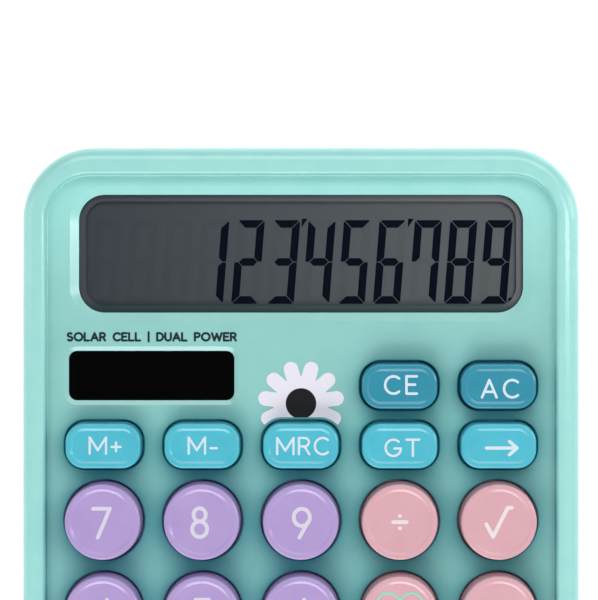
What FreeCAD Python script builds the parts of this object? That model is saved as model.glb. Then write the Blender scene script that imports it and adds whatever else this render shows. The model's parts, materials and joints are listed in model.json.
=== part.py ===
"""Desk calculator: a wedge-shaped case, a sunk key deck and sliding keys.

Two frames are used.  The deck frame lies in the plane of the raised rim: +X to the
right, +Y to the display end, +Z out of the keys.  The base frame is level, and its
zero height is the underside of the case.  The rubber feet stand below that.
"""
import FreeCAD
import Part
import Sketcher
import math
import os
import re

from FreeCAD import Placement, Rotation, Vector

doc = FreeCAD.newDocument("desk_calculator")
sheet = doc.addObject("Spreadsheet::Sheet", "dims")

# ---------------------------------------------------------------- driving dimensions
DIMENSIONS = (
    # case
    ("case_width", 113.0, "overall width"),
    ("case_length", 149.0, "overall length in the rim plane"),
    ("case_corner", 14.5, "plan radius of the corners"),
    ("tilt", 5.2, "slope of the deck, degrees"),
    ("front_height", 15.0, "rim height over the desk at the front"),
    ("foot_height", 1.5, "feet below the case"),
    ("wall", 2.2, "side wall"),
    ("floor_wall", 2.0, "bottom wall"),
    ("base_round", 2.0, "rounding round the underside"),
    ("parting", 10.0, "parting line below the rim plane"),
    ("reveal", 0.3, "shadow gap at the parting line"),
    ("lip_wall", 1.0, "tongue that locates the two shells"),
    ("lip_rise", 1.2, "height of that tongue"),
    ("lip_gap", 0.1, "clearance round the tongue"),
    ("centre_shift", 0.0, "moves the case so that its box is centred, measured below"),
    ("slip", 0.1, "small clearance of a fitted face"),
    ("overcut", 1.0, "how far a cut runs past the solid"),
    # rim and deck
    ("rim_side", 4.8, "rim width at the sides"),
    ("rim_end", 5.5, "rim width at the ends"),
    ("rim_height", 2.6, "deck below the rim plane"),
    ("rim_outer_round", 3.0, "outer rounding of the rim"),
    ("rim_inner_round", 0.9, "inner rounding of the rim"),
    ("hole_round", 0.3, "rounding round a key hole"),
    ("deck_corner", 8.7, "plan radius of the deck's corners"),
    ("deck_wall", 2.0, "deck thickness"),
    # display window
    ("window_width", 90.2, "display lens width"),
    ("window_length", 23.8, "display lens length"),
    ("window_corner", 5.2, "display lens corner radius"),
    ("window_y", 53.0, "display centre"),
    ("bezel", 1.9, "width of the slope round the lens"),
    ("bezel_drop", 0.5, "depth of that slope"),
    ("lens_wall", 1.0, "lens thickness"),
    ("lens_gap", 0.1, "clearance round a lens"),
    ("ledge", 1.1, "seat under the edge of a lens"),
    # solar window
    ("solar_width", 33.5, "solar window width"),
    ("solar_length", 9.9, "solar window length"),
    ("solar_corner", 1.6, "solar window corner radius"),
    ("solar_x", -30.4, "solar window centre"),
    ("solar_y", 28.2, "solar window centre"),
    ("solar_bezel", 1.0, "slope round the solar window"),
    ("solar_cell_wall", 1.1, "solar cell thickness"),
    ("solar_cell_margin", 1.2, "solar cell beyond its opening"),
    ("solar_pad_width", 31.7, "foam pad under the solar cell"),
    ("solar_pad_length", 5.7, "foam pad under the solar cell"),
    # keys
    ("key_pitch_x", 20.0, "column pitch"),
    ("key_pitch_y", 18.55, "pitch of the round rows"),
    ("round_row_y", -1.1, "first round row"),
    ("memory_row_y", 14.15, "lower row of oblong keys"),
    ("clear_row_y", 26.2, "upper row of oblong keys"),
    ("round_hole", 8.2, "radius of a round key hole"),
    ("oblong_hole_width", 16.2, "oblong key hole"),
    ("oblong_hole_length", 10.1, "oblong key hole"),
    ("oblong_corner", 4.3, "corner radius of that hole"),
    ("key_gap", 0.3, "clearance of a key in its hole"),
    ("key_draft", 2.5, "slope of a key's side, degrees"),
    ("key_rise", 4.6, "round key above the deck"),
    ("oblong_rise", 3.4, "oblong key above the deck"),
    ("key_edge", 0.45, "rounding round a key's top"),
    ("key_ring", 0.95, "level ring round a key's top"),
    ("key_step", 0.2, "step down inside that ring"),
    ("key_step_run", 0.5, "width of the step's slope"),
    ("key_dish", 0.25, "depth of the round finger dish below the step"),
    ("key_skin", 1.3, "wall of a key"),
    ("key_stem", 2.4, "radius of the post inside a key"),
    ("flange", 0.8, "key flange beyond its hole"),
    ("flange_wall", 0.9, "flange thickness"),
    ("flange_gap", 0.1, "flange below the deck at rest"),
    ("key_travel", 1.8, "how far a key goes down"),
    # rubber keypad and board
    ("board_top", 9.2, "board's upper face below the rim plane"),
    ("board_wall", 1.2, "board thickness"),
    ("board_width", 100.0, "board width"),
    ("board_front", -64.4, "front edge of the board"),
    ("board_back", 33.0, "back edge of the board"),
    ("mat_wall", 0.8, "rubber sheet thickness"),
    ("mat_inset", 0.8, "rubber sheet inside the board's edge"),
    ("mat_back", 21.2, "back edge of the sheet beside the solar cell"),
    ("mat_right_back", 31.0, "back edge of the sheet beside the ribbon"),
    ("mat_notch", 9.0, "left edge of the sheet's back part"),
    ("mat_clearance", 0.35, "sheet round the posts"),
    ("dome_base", 4.9, "radius at the foot of a rubber dome"),
    ("dome_top", 3.2, "radius at the top of a rubber dome"),
    ("dome_wall", 0.6, "wall of a dome"),
    ("dome_roof", 0.9, "roof of a dome"),
    ("oblong_dome", 0.88, "size of a dome under an oblong key, against a round key's"),
    ("chip_size", 13.0, "resin blob over the chip"),
    ("chip_rise", 1.6, "height of that blob"),
    ("capacitor_radius", 2.5, "capacitor"),
    ("capacitor_rise", 5.5, "capacitor"),
    ("capacitor_x", -22.0, "first capacitor"),
    ("capacitor_y", 24.0, "row of capacitors"),
    ("capacitor_pitch", 8.0, "row of capacitors"),
    ("resistor_width", 3.2, "resistor"),
    ("resistor_length", 1.6, "resistor"),
    ("resistor_rise", 0.6, "resistor"),
    ("resistor_x", 9.0, "first resistor"),
    ("resistor_y", 8.0, "row of resistors"),
    ("resistor_pitch", 5.0, "row of resistors"),
    # display stack
    ("glass_width", 90.6, "liquid crystal glass"),
    ("glass_length", 24.8, "liquid crystal glass"),
    ("glass_wall", 1.8, "liquid crystal glass"),
    ("glass_corner", 0.5, "corner radius of the glass, its film and its gasket"),
    ("contact_strip", 2.0, "strip of glass in front of the film, where the ribbon is bonded"),
    ("gasket_wall", 0.4, "foam frame over the glass"),
    ("reflector_wall", 0.2, "film behind the glass"),
    ("tray_wall", 1.2, "tray behind the glass"),
    ("tray_width", 94.0, "tray"),
    ("tray_length", 28.2, "tray"),
    ("tray_corner", 1.0, "corner radius of the tray"),
    ("nest_gap", 0.2, "clearance of the glass in its tray"),
    ("ribbon_gap", 2.0, "clearance of the ribbon in the tray's slot"),
    ("ribbon_drop", 3.0, "level distance over which the ribbon comes down past the board's edge"),
    ("ribbon_width", 60.0, "flexible ribbon"),
    ("ribbon_wall", 0.15, "flexible ribbon"),
    ("ribbon_bond", 1.8, "flexible ribbon on the board"),
    ("lead_radius", 0.4, "wire"),
    # screws
    ("boss", 2.9, "radius of an upper screw post"),
    ("lower_boss", 3.7, "radius of a lower screw post"),
    ("boss_meet", 10.7, "where the posts meet, below the rim plane"),
    ("screw_seat", 12.4, "under the head of a case screw"),
    ("screw_head", 2.3, "radius of a case screw's head"),
    ("screw_head_wall", 1.4, "height of that head"),
    ("screw_shank", 1.25, "radius of a case screw's thread"),
    ("screw_length", 7.0, "length of that thread"),
    ("slot_half", 0.5, "half the width of a cross recess"),
    ("slot_deep", 0.7, "depth of a cross recess"),
    ("slot_reach", 1.4, "half its length, against the thread's radius"),
    ("case_screw_x", 30.0, "front and middle case screws"),
    ("front_screw_y", -68.0, "front case screws"),
    ("middle_screw_y", -10.4, "middle case screws"),
    ("back_screw_x", 51.0, "back case screws"),
    ("board_boss", 2.0, "radius of a board post"),
    ("board_screw_head", 1.9, "radius of a board screw's head"),
    ("board_screw_head_wall", 1.2, "height of that head"),
    ("board_screw_shank", 1.0, "radius of a board screw's thread"),
    ("board_screw_length", 4.2, "length of that thread"),
    ("board_screw_x", 30.0, "front and middle board screws"),
    ("board_screw_front", -47.5, "front board screws"),
    ("board_screw_middle", 6.5, "middle board screws"),
    ("board_screw_back_x", 6.0, "back board screws"),
    ("board_screw_back", 27.0, "back board screws"),
    # battery bay, in the base frame
    ("cell_length", 44.5, "size R03 cell"),
    ("cell_radius", 5.25, "size R03 cell"),
    ("cell_x", 2.6, "cell centre"),
    ("cell_y", 51.0, "cell centre"),
    ("cell_z", 7.9, "cell centre"),
    ("nub_radius", 1.9, "positive nub of the cell"),
    ("nub_rise", 1.0, "positive nub of the cell"),
    ("bay_width", 52.0, "battery bay"),
    ("bay_front", 39.5, "battery bay"),
    ("bay_back", 57.0, "battery bay"),
    ("bay_height", 13.4, "battery bay"),
    ("bay_roof", 9.6, "top of the bay below the rim plane"),
    ("bay_wall", 1.5, "battery bay"),
    ("door_width", 54.0, "battery door"),
    ("door_front", 36.0, "front edge of the door"),
    ("door_reach", 90.0, "past the back of the case"),
    ("door_wall", 2.0, "battery door"),
    ("door_gap", 0.25, "clearance round the door"),
    ("tongue", 1.4, "tongue along each side of the door"),
    ("tongue_wall", 1.0, "tongue thickness"),
    ("rail", 2.2, "rail over the tongues"),
    ("grip_first", 64.0, "first grip groove in the door"),
    ("grip_pitch", 2.0, "pitch of the grip grooves"),
    ("grip_width", 0.9, "width of a grip groove"),
    ("grip_deep", 0.5, "depth of a grip groove"),
    ("grip_half", 8.0, "half the length of the middle groove"),
    ("contact_wall", 0.5, "battery contact"),
    ("contact_half_width", 4.0, "battery contact"),
    ("contact_half_height", 4.5, "battery contact"),
    ("spring_radius", 3.4, "battery spring"),
    ("spring_wire", 0.3, "radius of the battery spring's wire"),
    ("spring_turns", 4.0, "turns of the battery spring"),
    # feet
    ("foot_radius", 4.5, "rubber foot"),
    ("foot_recess", 1.0, "foot let into the case"),
    ("foot_round", 0.5, "rounding of a foot"),
    ("foot_x", 44.0, "foot centre"),
    ("front_foot_y", -62.0, "front feet"),
    ("back_foot_y", 66.0, "back feet"),
)
CELLS = {name for name, value, note in DIMENSIONS}
for row, (name, value, note) in enumerate(DIMENSIONS, start=1):
    sheet.set("A%d" % row, note)
    sheet.set("B%d" % row, "%g" % value)
    sheet.setAlias("B%d" % row, name)
doc.recompute()


# ---------------------------------------------------------------- formulas and frames
def formula(text):
    """Write a formula whose words name cells of the sheet."""
    return re.sub(r"[a-z][a-z_]*", lambda word: cell(word.group()), text)


def cell(word):
    return "dims." + word if word in CELLS else word


def number(text):
    return float(sheet.evalExpression(formula(text)))


DECK_Z = "-rim_height"
DECK_UNDER = "-(rim_height + deck_wall)"
RIM_CENTRE_HEIGHT = "front_height + case_length / 2 * sin(tilt)"
BASE_BELOW_CENTRE = "((%s - foot_height) / cos(tilt))" % RIM_CENTRE_HEIGHT
LENS_TOP = "-(rim_height + bezel_drop)"
GLASS_TOP = "-(rim_height + deck_wall + gasket_wall)"
GLASS_UNDER = "-(rim_height + deck_wall + gasket_wall + glass_wall)"
TRAY_FLOOR = "-(rim_height + deck_wall + gasket_wall + glass_wall + reflector_wall)"
FLANGE_TOP = "-(rim_height + deck_wall + flange_gap)"
FLANGE_UNDER = "-(rim_height + deck_wall + flange_gap + flange_wall)"
MAT_TOP = "-(board_top - mat_wall)"
BOARD_UNDER = "-(board_top + board_wall)"


def place_in_deck(item, across="0", along="0", above="0"):
    """Stand an object on the sloping deck frame, at a point of that frame."""
    item.Placement = Placement(Vector(), Rotation(Vector(1, 0, 0), number("tilt")))
    item.setExpression("Placement.Rotation.Angle", formula("tilt"))
    item.setExpression("Placement.Base.x", formula(across))
    item.setExpression(
        "Placement.Base.y",
        formula("(%s) * cos(tilt) - (%s) * sin(tilt) + centre_shift" % (along, above)))
    item.setExpression(
        "Placement.Base.z",
        formula("(%s) * sin(tilt) + (%s) * cos(tilt) + %s" % (along, above, RIM_CENTRE_HEIGHT)))


def place_on_base(item, across="0", along="0", above="0"):
    """Stand an object on the level base frame, at a point of that frame."""
    item.setExpression("Placement.Base.x", formula(across))
    item.setExpression("Placement.Base.y", formula("%s + centre_shift" % along))
    item.setExpression("Placement.Base.z", formula("%s + foot_height" % above))


def new_body(label, place=place_in_deck, across="0", along="0", above="0"):
    item = doc.addObject("PartDesign::Body", label)
    item.Label = label
    place(item, across, along, above)
    return item


# ---------------------------------------------------------------- sketches
def new_sketch(body, name, plane="XY_Plane", z="0"):
    item = body.newObject("Sketcher::SketchObject", name)
    support = next(f for f in body.Origin.OriginFeatures if f.Role == plane)
    item.AttachmentSupport = [(support, "")]
    item.MapMode = "FlatFace"
    item.setExpression("AttachmentOffset.Base.z", formula(z))
    return item


def bind(sketch, name, constraint, text):
    index = sketch.addConstraint(constraint)
    sketch.renameConstraint(index, name)
    sketch.setExpression("Constraints." + name, formula(text))


def add_circle(sketch, tag, radius, x="0", y="0"):
    place = Vector(number(x), number(y), 0)
    index = sketch.addGeometry(Part.Circle(place, Vector(0, 0, 1), number(radius)), False)
    bind(sketch, tag + "_r", Sketcher.Constraint("Radius", index, number(radius)), radius)
    bind(sketch, tag + "_x", Sketcher.Constraint("DistanceX", -1, 1, index, 3, place.x), x)
    bind(sketch, tag + "_y", Sketcher.Constraint("DistanceY", -1, 1, index, 3, place.y), y)


def add_rounded(sketch, tag, width, length, radius, x="0", y="0"):
    """Add a rectangle with round corners, four lines and four tangent arcs."""
    r = number(radius)
    left, right = number(x) - number(width) / 2, number(x) + number(width) / 2
    low, high = number(y) - number(length) / 2, number(y) + number(length) / 2
    ends = (
        ((left + r, high), (right - r, high)), ((right, high - r), (right, low + r)),
        ((right - r, low), (left + r, low)), ((left, low + r), (left, high - r)))
    lines = [sketch.addGeometry(Part.LineSegment(Vector(*a, 0), Vector(*b, 0)), False)
             for a, b in ends]
    centres = ((right - r, high - r, 0), (right - r, low + r, -90),
               (left + r, low + r, 180), (left + r, high - r, 90))
    arcs = []
    for cx, cy, start in centres:
        round_corner = Part.Circle(Vector(cx, cy, 0), Vector(0, 0, 1), r)
        span = (math.radians(start), math.radians(start + 90))
        arcs.append(sketch.addGeometry(Part.ArcOfCircle(round_corner, *span), False))
    rules = []
    for side in range(4):
        rules.append(Sketcher.Constraint("Tangent", lines[side], 2, arcs[side], 2))
        rules.append(Sketcher.Constraint("Tangent", arcs[side], 1, lines[(side + 1) % 4], 1))
    rules += [Sketcher.Constraint("Horizontal", lines[0]), Sketcher.Constraint("Vertical", lines[1]),
              Sketcher.Constraint("Horizontal", lines[2]), Sketcher.Constraint("Vertical", lines[3])]
    rules += [Sketcher.Constraint("Equal", arcs[0], other) for other in arcs[1:]]
    sketch.addConstraint(rules)
    bind(sketch, tag + "_r", Sketcher.Constraint("Radius", arcs[0], r), radius)
    bind(sketch, tag + "_w",
         Sketcher.Constraint("DistanceX", lines[3], 1, lines[1], 1, right - left), width)
    bind(sketch, tag + "_l",
         Sketcher.Constraint("DistanceY", lines[2], 1, lines[0], 1, high - low), length)
    bind(sketch, tag + "_x", Sketcher.Constraint("DistanceX", -1, 1, arcs[2], 3, left + r),
         "%s - (%s) / 2 + %s" % (x, width, radius))
    bind(sketch, tag + "_y", Sketcher.Constraint("DistanceY", -1, 1, arcs[2], 3, low + r),
         "%s - (%s) / 2 + %s" % (y, length, radius))


def add_polygon(sketch, tag, corners, open_end=False):
    """Add straight lines through corners given as pairs of formulas."""
    places = [Vector(number(x), number(y), 0) for x, y in corners]
    count = len(places) - 1 if open_end else len(places)
    lines = [sketch.addGeometry(Part.LineSegment(places[i], places[(i + 1) % len(places)]), False)
             for i in range(count)]
    joins = count - 1 if open_end else count
    for i in range(joins):
        sketch.addConstraint(Sketcher.Constraint("Coincident", lines[i], 2, lines[(i + 1) % count], 1))
    for i, (x, y) in enumerate(corners):
        line, end = (lines[i], 1) if i < count else (lines[-1], 2)
        for kind, letter, value, text in (("DistanceX", "x", places[i].x, x),
                                          ("DistanceY", "y", places[i].y, y)):
            rule = Sketcher.Constraint(kind, -1, 1, line, end, value)
            bind(sketch, "%s_%s%d" % (tag, letter, i), rule, text)
    return lines


def add_box_outline(sketch, tag, left, right, low, high):
    add_polygon(sketch, tag, ((left, low), (right, low), (right, high), (left, high)))


# ---------------------------------------------------------------- features
def add_pad(body, sketch, length, up=True, taper="0"):
    item = body.newObject("PartDesign::Pad", sketch.Name + "_pad")
    item.Profile = sketch
    item.setExpression("Length", formula(length))
    item.setExpression("TaperAngle", formula(taper))
    item.Reversed = not up
    sketch.Visibility = False
    return item


def add_pocket(body, sketch, depth=None, up=False, both_ways=False, taper="0"):
    item = body.newObject("PartDesign::Pocket", sketch.Name + "_pocket")
    item.Profile = sketch
    if depth is None:
        item.Type = "ThroughAll"
    else:
        item.setExpression("Length", formula(depth))
        item.setExpression("TaperAngle", formula(taper))
    item.Midplane = both_ways
    item.Reversed = up
    return item


def add_fillet(body, edges, radius, name):
    """Round edges of the body's last feature."""
    base = body.Tip
    item = body.newObject("PartDesign::Fillet", name)
    item.Base = (base, edges)
    item.setExpression("Radius", formula(radius))
    return item


def level_edges(feature, z, within=None):
    """Name the edges of a feature that lie flat at height z."""
    names = []
    for index, edge in enumerate(feature.Shape.Edges, start=1):
        box = edge.BoundBox
        flat = abs(box.ZMin - z) < 1e-4 and abs(box.ZMax - z) < 1e-4
        if flat and (within is None or within(box)):
            names.append("Edge%d" % index)
    return names


def fillet_level(body, z, radius, name, within=None):
    doc.recompute()
    return add_fillet(body, level_edges(body.Tip, z, within), radius, name)


def cylinder(label, radius, height, place, across, along, above):
    item = doc.addObject("Part::Cylinder", label)
    item.Label = label
    item.setExpression("Radius", formula(radius))
    item.setExpression("Height", formula(height))
    place(item, across, along, above)
    return item


def box(label, x, y, z, place=place_on_base):
    """Make a box from three (low, high) pairs of formulas."""
    item = doc.addObject("Part::Box", label)
    item.Label = label
    for side, (low, high) in zip(("Length", "Width", "Height"), (x, y, z)):
        item.setExpression(side, formula("(%s) - (%s)" % (high, low)))
    place(item, x[0], y[0], z[0])
    return item


def fuse(label, shapes):
    item = doc.addObject("Part::MultiFuse", label)
    item.Label = label
    item.Shapes = shapes
    return item


def cut(label, base, tool):
    item = doc.addObject("Part::Cut", label)
    item.Label = label
    item.Base = base
    item.Tool = tool
    return item


def common(label, shapes):
    item = doc.addObject("Part::MultiCommon", label)
    item.Label = label
    item.Shapes = shapes
    return item


# ---------------------------------------------------------------- key layout
COLUMNS = ["%d * key_pitch_x" % column for column in (-2, -1, 0, 1, 2)]
ROUND_ROWS = ["round_row_y - %d * key_pitch_y" % row for row in range(4)]
ROUND_KEYS = (
    ("key_7", "key_8", "key_9", "key_divide", "key_root"),
    ("key_4", "key_5", "key_6", "key_multiply", "key_percent"),
    ("key_1", "key_2", "key_3", "key_minus", "key_sign"),
    ("key_0", "key_00", "key_point", "key_plus", "key_equals"),
)
MEMORY_KEYS = ("key_memory_plus", "key_memory_minus", "key_memory_recall",
               "key_grand_total", "key_backspace")
CLEAR_KEYS = ("key_clear_entry", "key_all_clear")

round_places = {label: (x, y) for y, labels in zip(ROUND_ROWS, ROUND_KEYS)
                for x, label in zip(COLUMNS, labels)}
oblong_places = {label: (x, "memory_row_y") for x, label in zip(COLUMNS, MEMORY_KEYS)}
oblong_places.update({label: (x, "clear_row_y") for x, label in zip(COLUMNS[3:], CLEAR_KEYS)})

case_screw_places = [(side + x, y) for side in ("-", "") for x, y in (
    ("case_screw_x", "front_screw_y"), ("case_screw_x", "middle_screw_y"),
    ("back_screw_x", "window_y"))]
board_screw_places = [(side + x, y) for x, y in (
    ("board_screw_x", "board_screw_front"), ("board_screw_x", "board_screw_middle"),
    ("board_screw_back_x", "board_screw_back")) for side in ("-", "")]


# ---------------------------------------------------------------- shells
def make_upper_shell():
    body = new_body("upper_shell")
    outline = new_sketch(body, "upper_outline")
    add_rounded(outline, "outline", "case_width", "case_length", "case_corner")
    add_pad(body, outline, "parting", up=False)
    fillet_level(body, 0.0, "rim_outer_round", "upper_rim_outer")

    deck = new_sketch(body, "upper_deck")
    add_rounded(deck, "deck", "case_width - 2 * rim_side", "case_length - 2 * rim_end", "deck_corner")
    add_pocket(body, deck, "rim_height")
    inside = number("case_width / 2 - rim_side") + 0.01
    fillet_level(body, 0.0, "rim_inner_round", "upper_rim_inner",
                 lambda b: b.XMax < inside and b.XMin > -inside)

    hollow = new_sketch(body, "upper_hollow", z="-parting")
    add_rounded(hollow, "hollow", "case_width - 2 * wall", "case_length - 2 * wall", "case_corner - wall")
    add_pocket(body, hollow, "parting - rim_height - deck_wall", up=True)
    rabbet = new_sketch(body, "upper_rabbet", z="-parting")
    inset = "(wall - lip_wall - lip_gap)"
    add_rounded(rabbet, "rabbet", "case_width - 2 * " + inset, "case_length - 2 * " + inset,
                "case_corner - " + inset)
    add_pocket(body, rabbet, "lip_rise + lip_gap - reveal", up=True)

    # sloped surround, lens seat and opening of the two windows
    for tag, x, y, slope in (("window", "0", "window_y", "bezel"),
                             ("solar", "solar_x", "solar_y", "solar_bezel")):
        size = ["%s_width" % tag, "%s_length" % tag, "%s_corner" % tag]
        surround = new_sketch(body, "upper_%s_surround" % tag, z=DECK_Z)
        add_rounded(surround, "surround", size[0] + " + 2 * " + slope, size[1] + " + 2 * " + slope,
                    size[2] + " + " + slope, x, y)
        add_pocket(body, surround, "bezel_drop", taper="-atan(%s / bezel_drop)" % slope)
        seat = new_sketch(body, "upper_%s_seat" % tag, z=DECK_Z)
        add_rounded(seat, "seat", size[0] + " + 2 * lens_gap", size[1] + " + 2 * lens_gap",
                    size[2] + " + lens_gap", x, y)
        add_pocket(body, seat, "bezel_drop + lens_wall")
        opening = new_sketch(body, "upper_%s_opening" % tag, z=DECK_Z)
        corner = "window_corner - ledge" if tag == "window" else "solar_corner / 2"
        add_rounded(opening, "opening", size[0] + " - 2 * ledge", size[1] + " - 2 * ledge", corner, x, y)
        add_pocket(body, opening, "deck_wall + overcut")

    round_holes = new_sketch(body, "upper_round_holes", z=DECK_Z)
    for label, (x, y) in round_places.items():
        add_circle(round_holes, label, "round_hole", x, y)
    add_pocket(body, round_holes, "deck_wall + overcut")
    oblong_holes = new_sketch(body, "upper_oblong_holes", z=DECK_Z)
    for label, (x, y) in oblong_places.items():
        add_rounded(oblong_holes, label, "oblong_hole_width", "oblong_hole_length", "oblong_corner", x, y)
    add_pocket(body, oblong_holes, "deck_wall + overcut")
    hole_size = number("2 * round_hole") + 0.1
    key_area_top = number("clear_row_y + oblong_hole_length")
    solar_right = number("solar_x + solar_width / 2 + 2 * solar_bezel")
    solar_low = number("solar_y - solar_length / 2 - 2 * solar_bezel")
    fillet_level(body, number(DECK_Z), "hole_round", "upper_hole_edges",
                 lambda b: b.XLength < hole_size and b.YLength < hole_size and b.YMax < key_area_top
                 and not (b.XMax < solar_right and b.YMin > solar_low))

    posts = new_sketch(body, "upper_posts", z=DECK_UNDER)
    for index, (x, y) in enumerate(case_screw_places):
        add_circle(posts, "post%d" % index, "boss", x, y)
    add_pad(body, posts, "boss_meet - rim_height - deck_wall", up=False)
    pilots = new_sketch(body, "upper_pilots", z="-boss_meet")
    for index, (x, y) in enumerate(case_screw_places):
        add_circle(pilots, "pilot%d" % index, "screw_shank", x, y)
    add_pocket(body, pilots, "screw_length - (screw_seat - boss_meet) + slip", up=True)

    board_posts = new_sketch(body, "upper_board_posts", z=DECK_UNDER)
    for index, (x, y) in enumerate(board_screw_places):
        add_circle(board_posts, "post%d" % index, "board_boss", x, y)
    add_pad(body, board_posts, "board_top - rim_height - deck_wall", up=False)
    board_pilots = new_sketch(body, "upper_board_pilots", z="-board_top")
    for index, (x, y) in enumerate(board_screw_places):
        add_circle(board_pilots, "pilot%d" % index, "board_screw_shank", x, y)
    add_pocket(body, board_pilots, "board_screw_length - board_wall + slip", up=True)
    return body


def wedge(label, width, length, corner, top, below_base):
    """A block with a level underside, below_base above the base plane."""
    body = new_body(label)
    outline = new_sketch(body, label + "_outline", z=top)
    add_rounded(outline, "outline", width, length, corner)
    add_pad(body, outline, "2 * front_height + case_length * tan(tilt)", up=False)
    # the sketch lies in the YZ plane, so its two axes are the deck frame's Y and Z
    profile = new_sketch(body, label + "_slope", plane="YZ_Plane")
    under = "-(%s - (%s) / cos(tilt)) - (%s) * tan(tilt)"
    front, back = "-case_length", "case_length"
    add_polygon(profile, "slope", (
        (front, under % (BASE_BELOW_CENTRE, below_base, front)),
        (back, under % (BASE_BELOW_CENTRE, below_base, back)),
        (back, "-4 * front_height - 2 * case_length * tan(tilt)"),
        (front, "-4 * front_height - 2 * case_length * tan(tilt)")))
    add_pocket(body, profile, both_ways=True)
    return body


def make_lower_shell():
    block = wedge("lower_block", "case_width", "case_length", "case_corner", "-(parting + reveal)", "0")
    doc.recompute()
    rim = []
    for index, edge in enumerate(block.Tip.Shape.Edges, start=1):
        slope = number("tan(tilt)")
        heights = [v.Z + v.Y * slope + number(BASE_BELOW_CENTRE) for v in edge.Vertexes]
        if max(abs(value) for value in heights) < 1e-3:
            rim.append("Edge%d" % index)
    add_fillet(block, rim, "base_round", "lower_base_round")

    hollow = wedge("lower_hollow", "case_width - 2 * wall", "case_length - 2 * wall",
                   "case_corner - wall", "0", "floor_wall")
    shell = cut("lower_walls", block, hollow)

    lip_body = new_body("lower_lip")
    ring = new_sketch(lip_body, "lower_lip_outer", z="-(parting + reveal)")
    add_rounded(ring, "outer", "case_width - 2 * (wall - lip_wall)", "case_length - 2 * (wall - lip_wall)",
                "case_corner - (wall - lip_wall)")
    add_rounded(ring, "inner", "case_width - 2 * wall", "case_length - 2 * wall", "case_corner - wall")
    add_pad(lip_body, ring, "lip_rise")

    posts = []
    sinks = []
    for index, (x, y) in enumerate(case_screw_places):
        depth = "%s + (%s) * tan(tilt)" % (BASE_BELOW_CENTRE, y)
        low = "-(%s)" % depth
        posts.append(cylinder("lower_post_%d" % index, "lower_boss", "%s - boss_meet" % depth,
                              place_in_deck, x, y, low))
        sinks.append(cylinder("lower_sink_%d" % index, "screw_head + 3 * slip",
                              "%s - screw_seat + 4 * overcut" % depth, place_in_deck, x, y,
                              low + " - 4 * overcut"))
        sinks.append(cylinder("lower_clearance_%d" % index, "screw_shank + 2 * slip",
                              "%s - boss_meet + overcut" % depth, place_in_deck, x, y, low))

    bay_half = "bay_width / 2"
    outer = "(door_width / 2 + tongue + bay_wall)"
    bay_block = box("bay_block", ("-" + outer, outer), ("door_front - bay_wall", "bay_back + bay_wall"),
                    ("0", "bay_height + bay_wall"))
    under_display = box("bay_room", ("-" + outer, outer), ("0", "case_length"),
                        ("-(bay_roof + 2 * front_height)", "-bay_roof"), place_in_deck)
    bay = common("bay_walls", [bay_block, under_display])
    shelf = box("bay_shelf", ("-" + outer, outer), ("bay_back", "door_reach"), ("0", "door_wall + rail"))
    solids = fuse("lower_solids", [shell, lip_body, bay, common("lower_additions", [
        block, fuse("lower_fittings", posts + [shelf])])])

    cavity = box("bay_cavity", ("-" + bay_half, bay_half), ("bay_front", "bay_back"), ("0", "bay_height"))
    door_half = "(door_width / 2 + door_gap)"
    way = box("door_way", ("-" + door_half, door_half), ("door_front - door_gap", "door_reach"),
              ("-overcut", "door_wall + slip"))
    groove_half = "(door_width / 2 + tongue + door_gap)"
    groove = box("door_groove", ("-" + groove_half, groove_half), ("door_front - door_gap", "door_reach"),
                 ("door_wall - tongue_wall - slip", "door_wall + slip"))
    for sx in ("-", ""):
        for name, y in (("front", "front_foot_y"), ("back", "back_foot_y")):
            sinks.append(cylinder("foot_sink_%s%s" % (name, "_left" if sx else "_right"),
                                  "foot_radius + slip", "foot_recess + overcut", place_on_base,
                                  sx + "foot_x", y, "-overcut"))
    return block, cut("lower_shell", solids, fuse("lower_cuts", sinks + [cavity, way, groove]))


def make_battery_door(block):
    half = "door_width / 2"
    plate = box("door_plate", ("-" + half, half), ("door_front", "door_reach"),
                ("-overcut", "door_wall"))
    wing = "(door_width / 2 + tongue)"
    tongues = box("door_tongues", ("-" + wing, wing), ("door_front", "door_reach"),
                  ("door_wall - tongue_wall", "door_wall"))
    blank = common("door_blank", [block, fuse("door_profile", [plate, tongues])])
    grips = []
    for index in range(5):
        half_grip = "(grip_half - %d)" % abs(index - 2)
        low = "grip_first + %d * grip_pitch" % index
        grips.append(box("door_grip_%d" % index, ("-" + half_grip, half_grip), (low, low + " + grip_width"),
                         ("-overcut", "grip_deep")))
    return cut("battery_door", blank, fuse("door_grips", grips))


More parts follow.
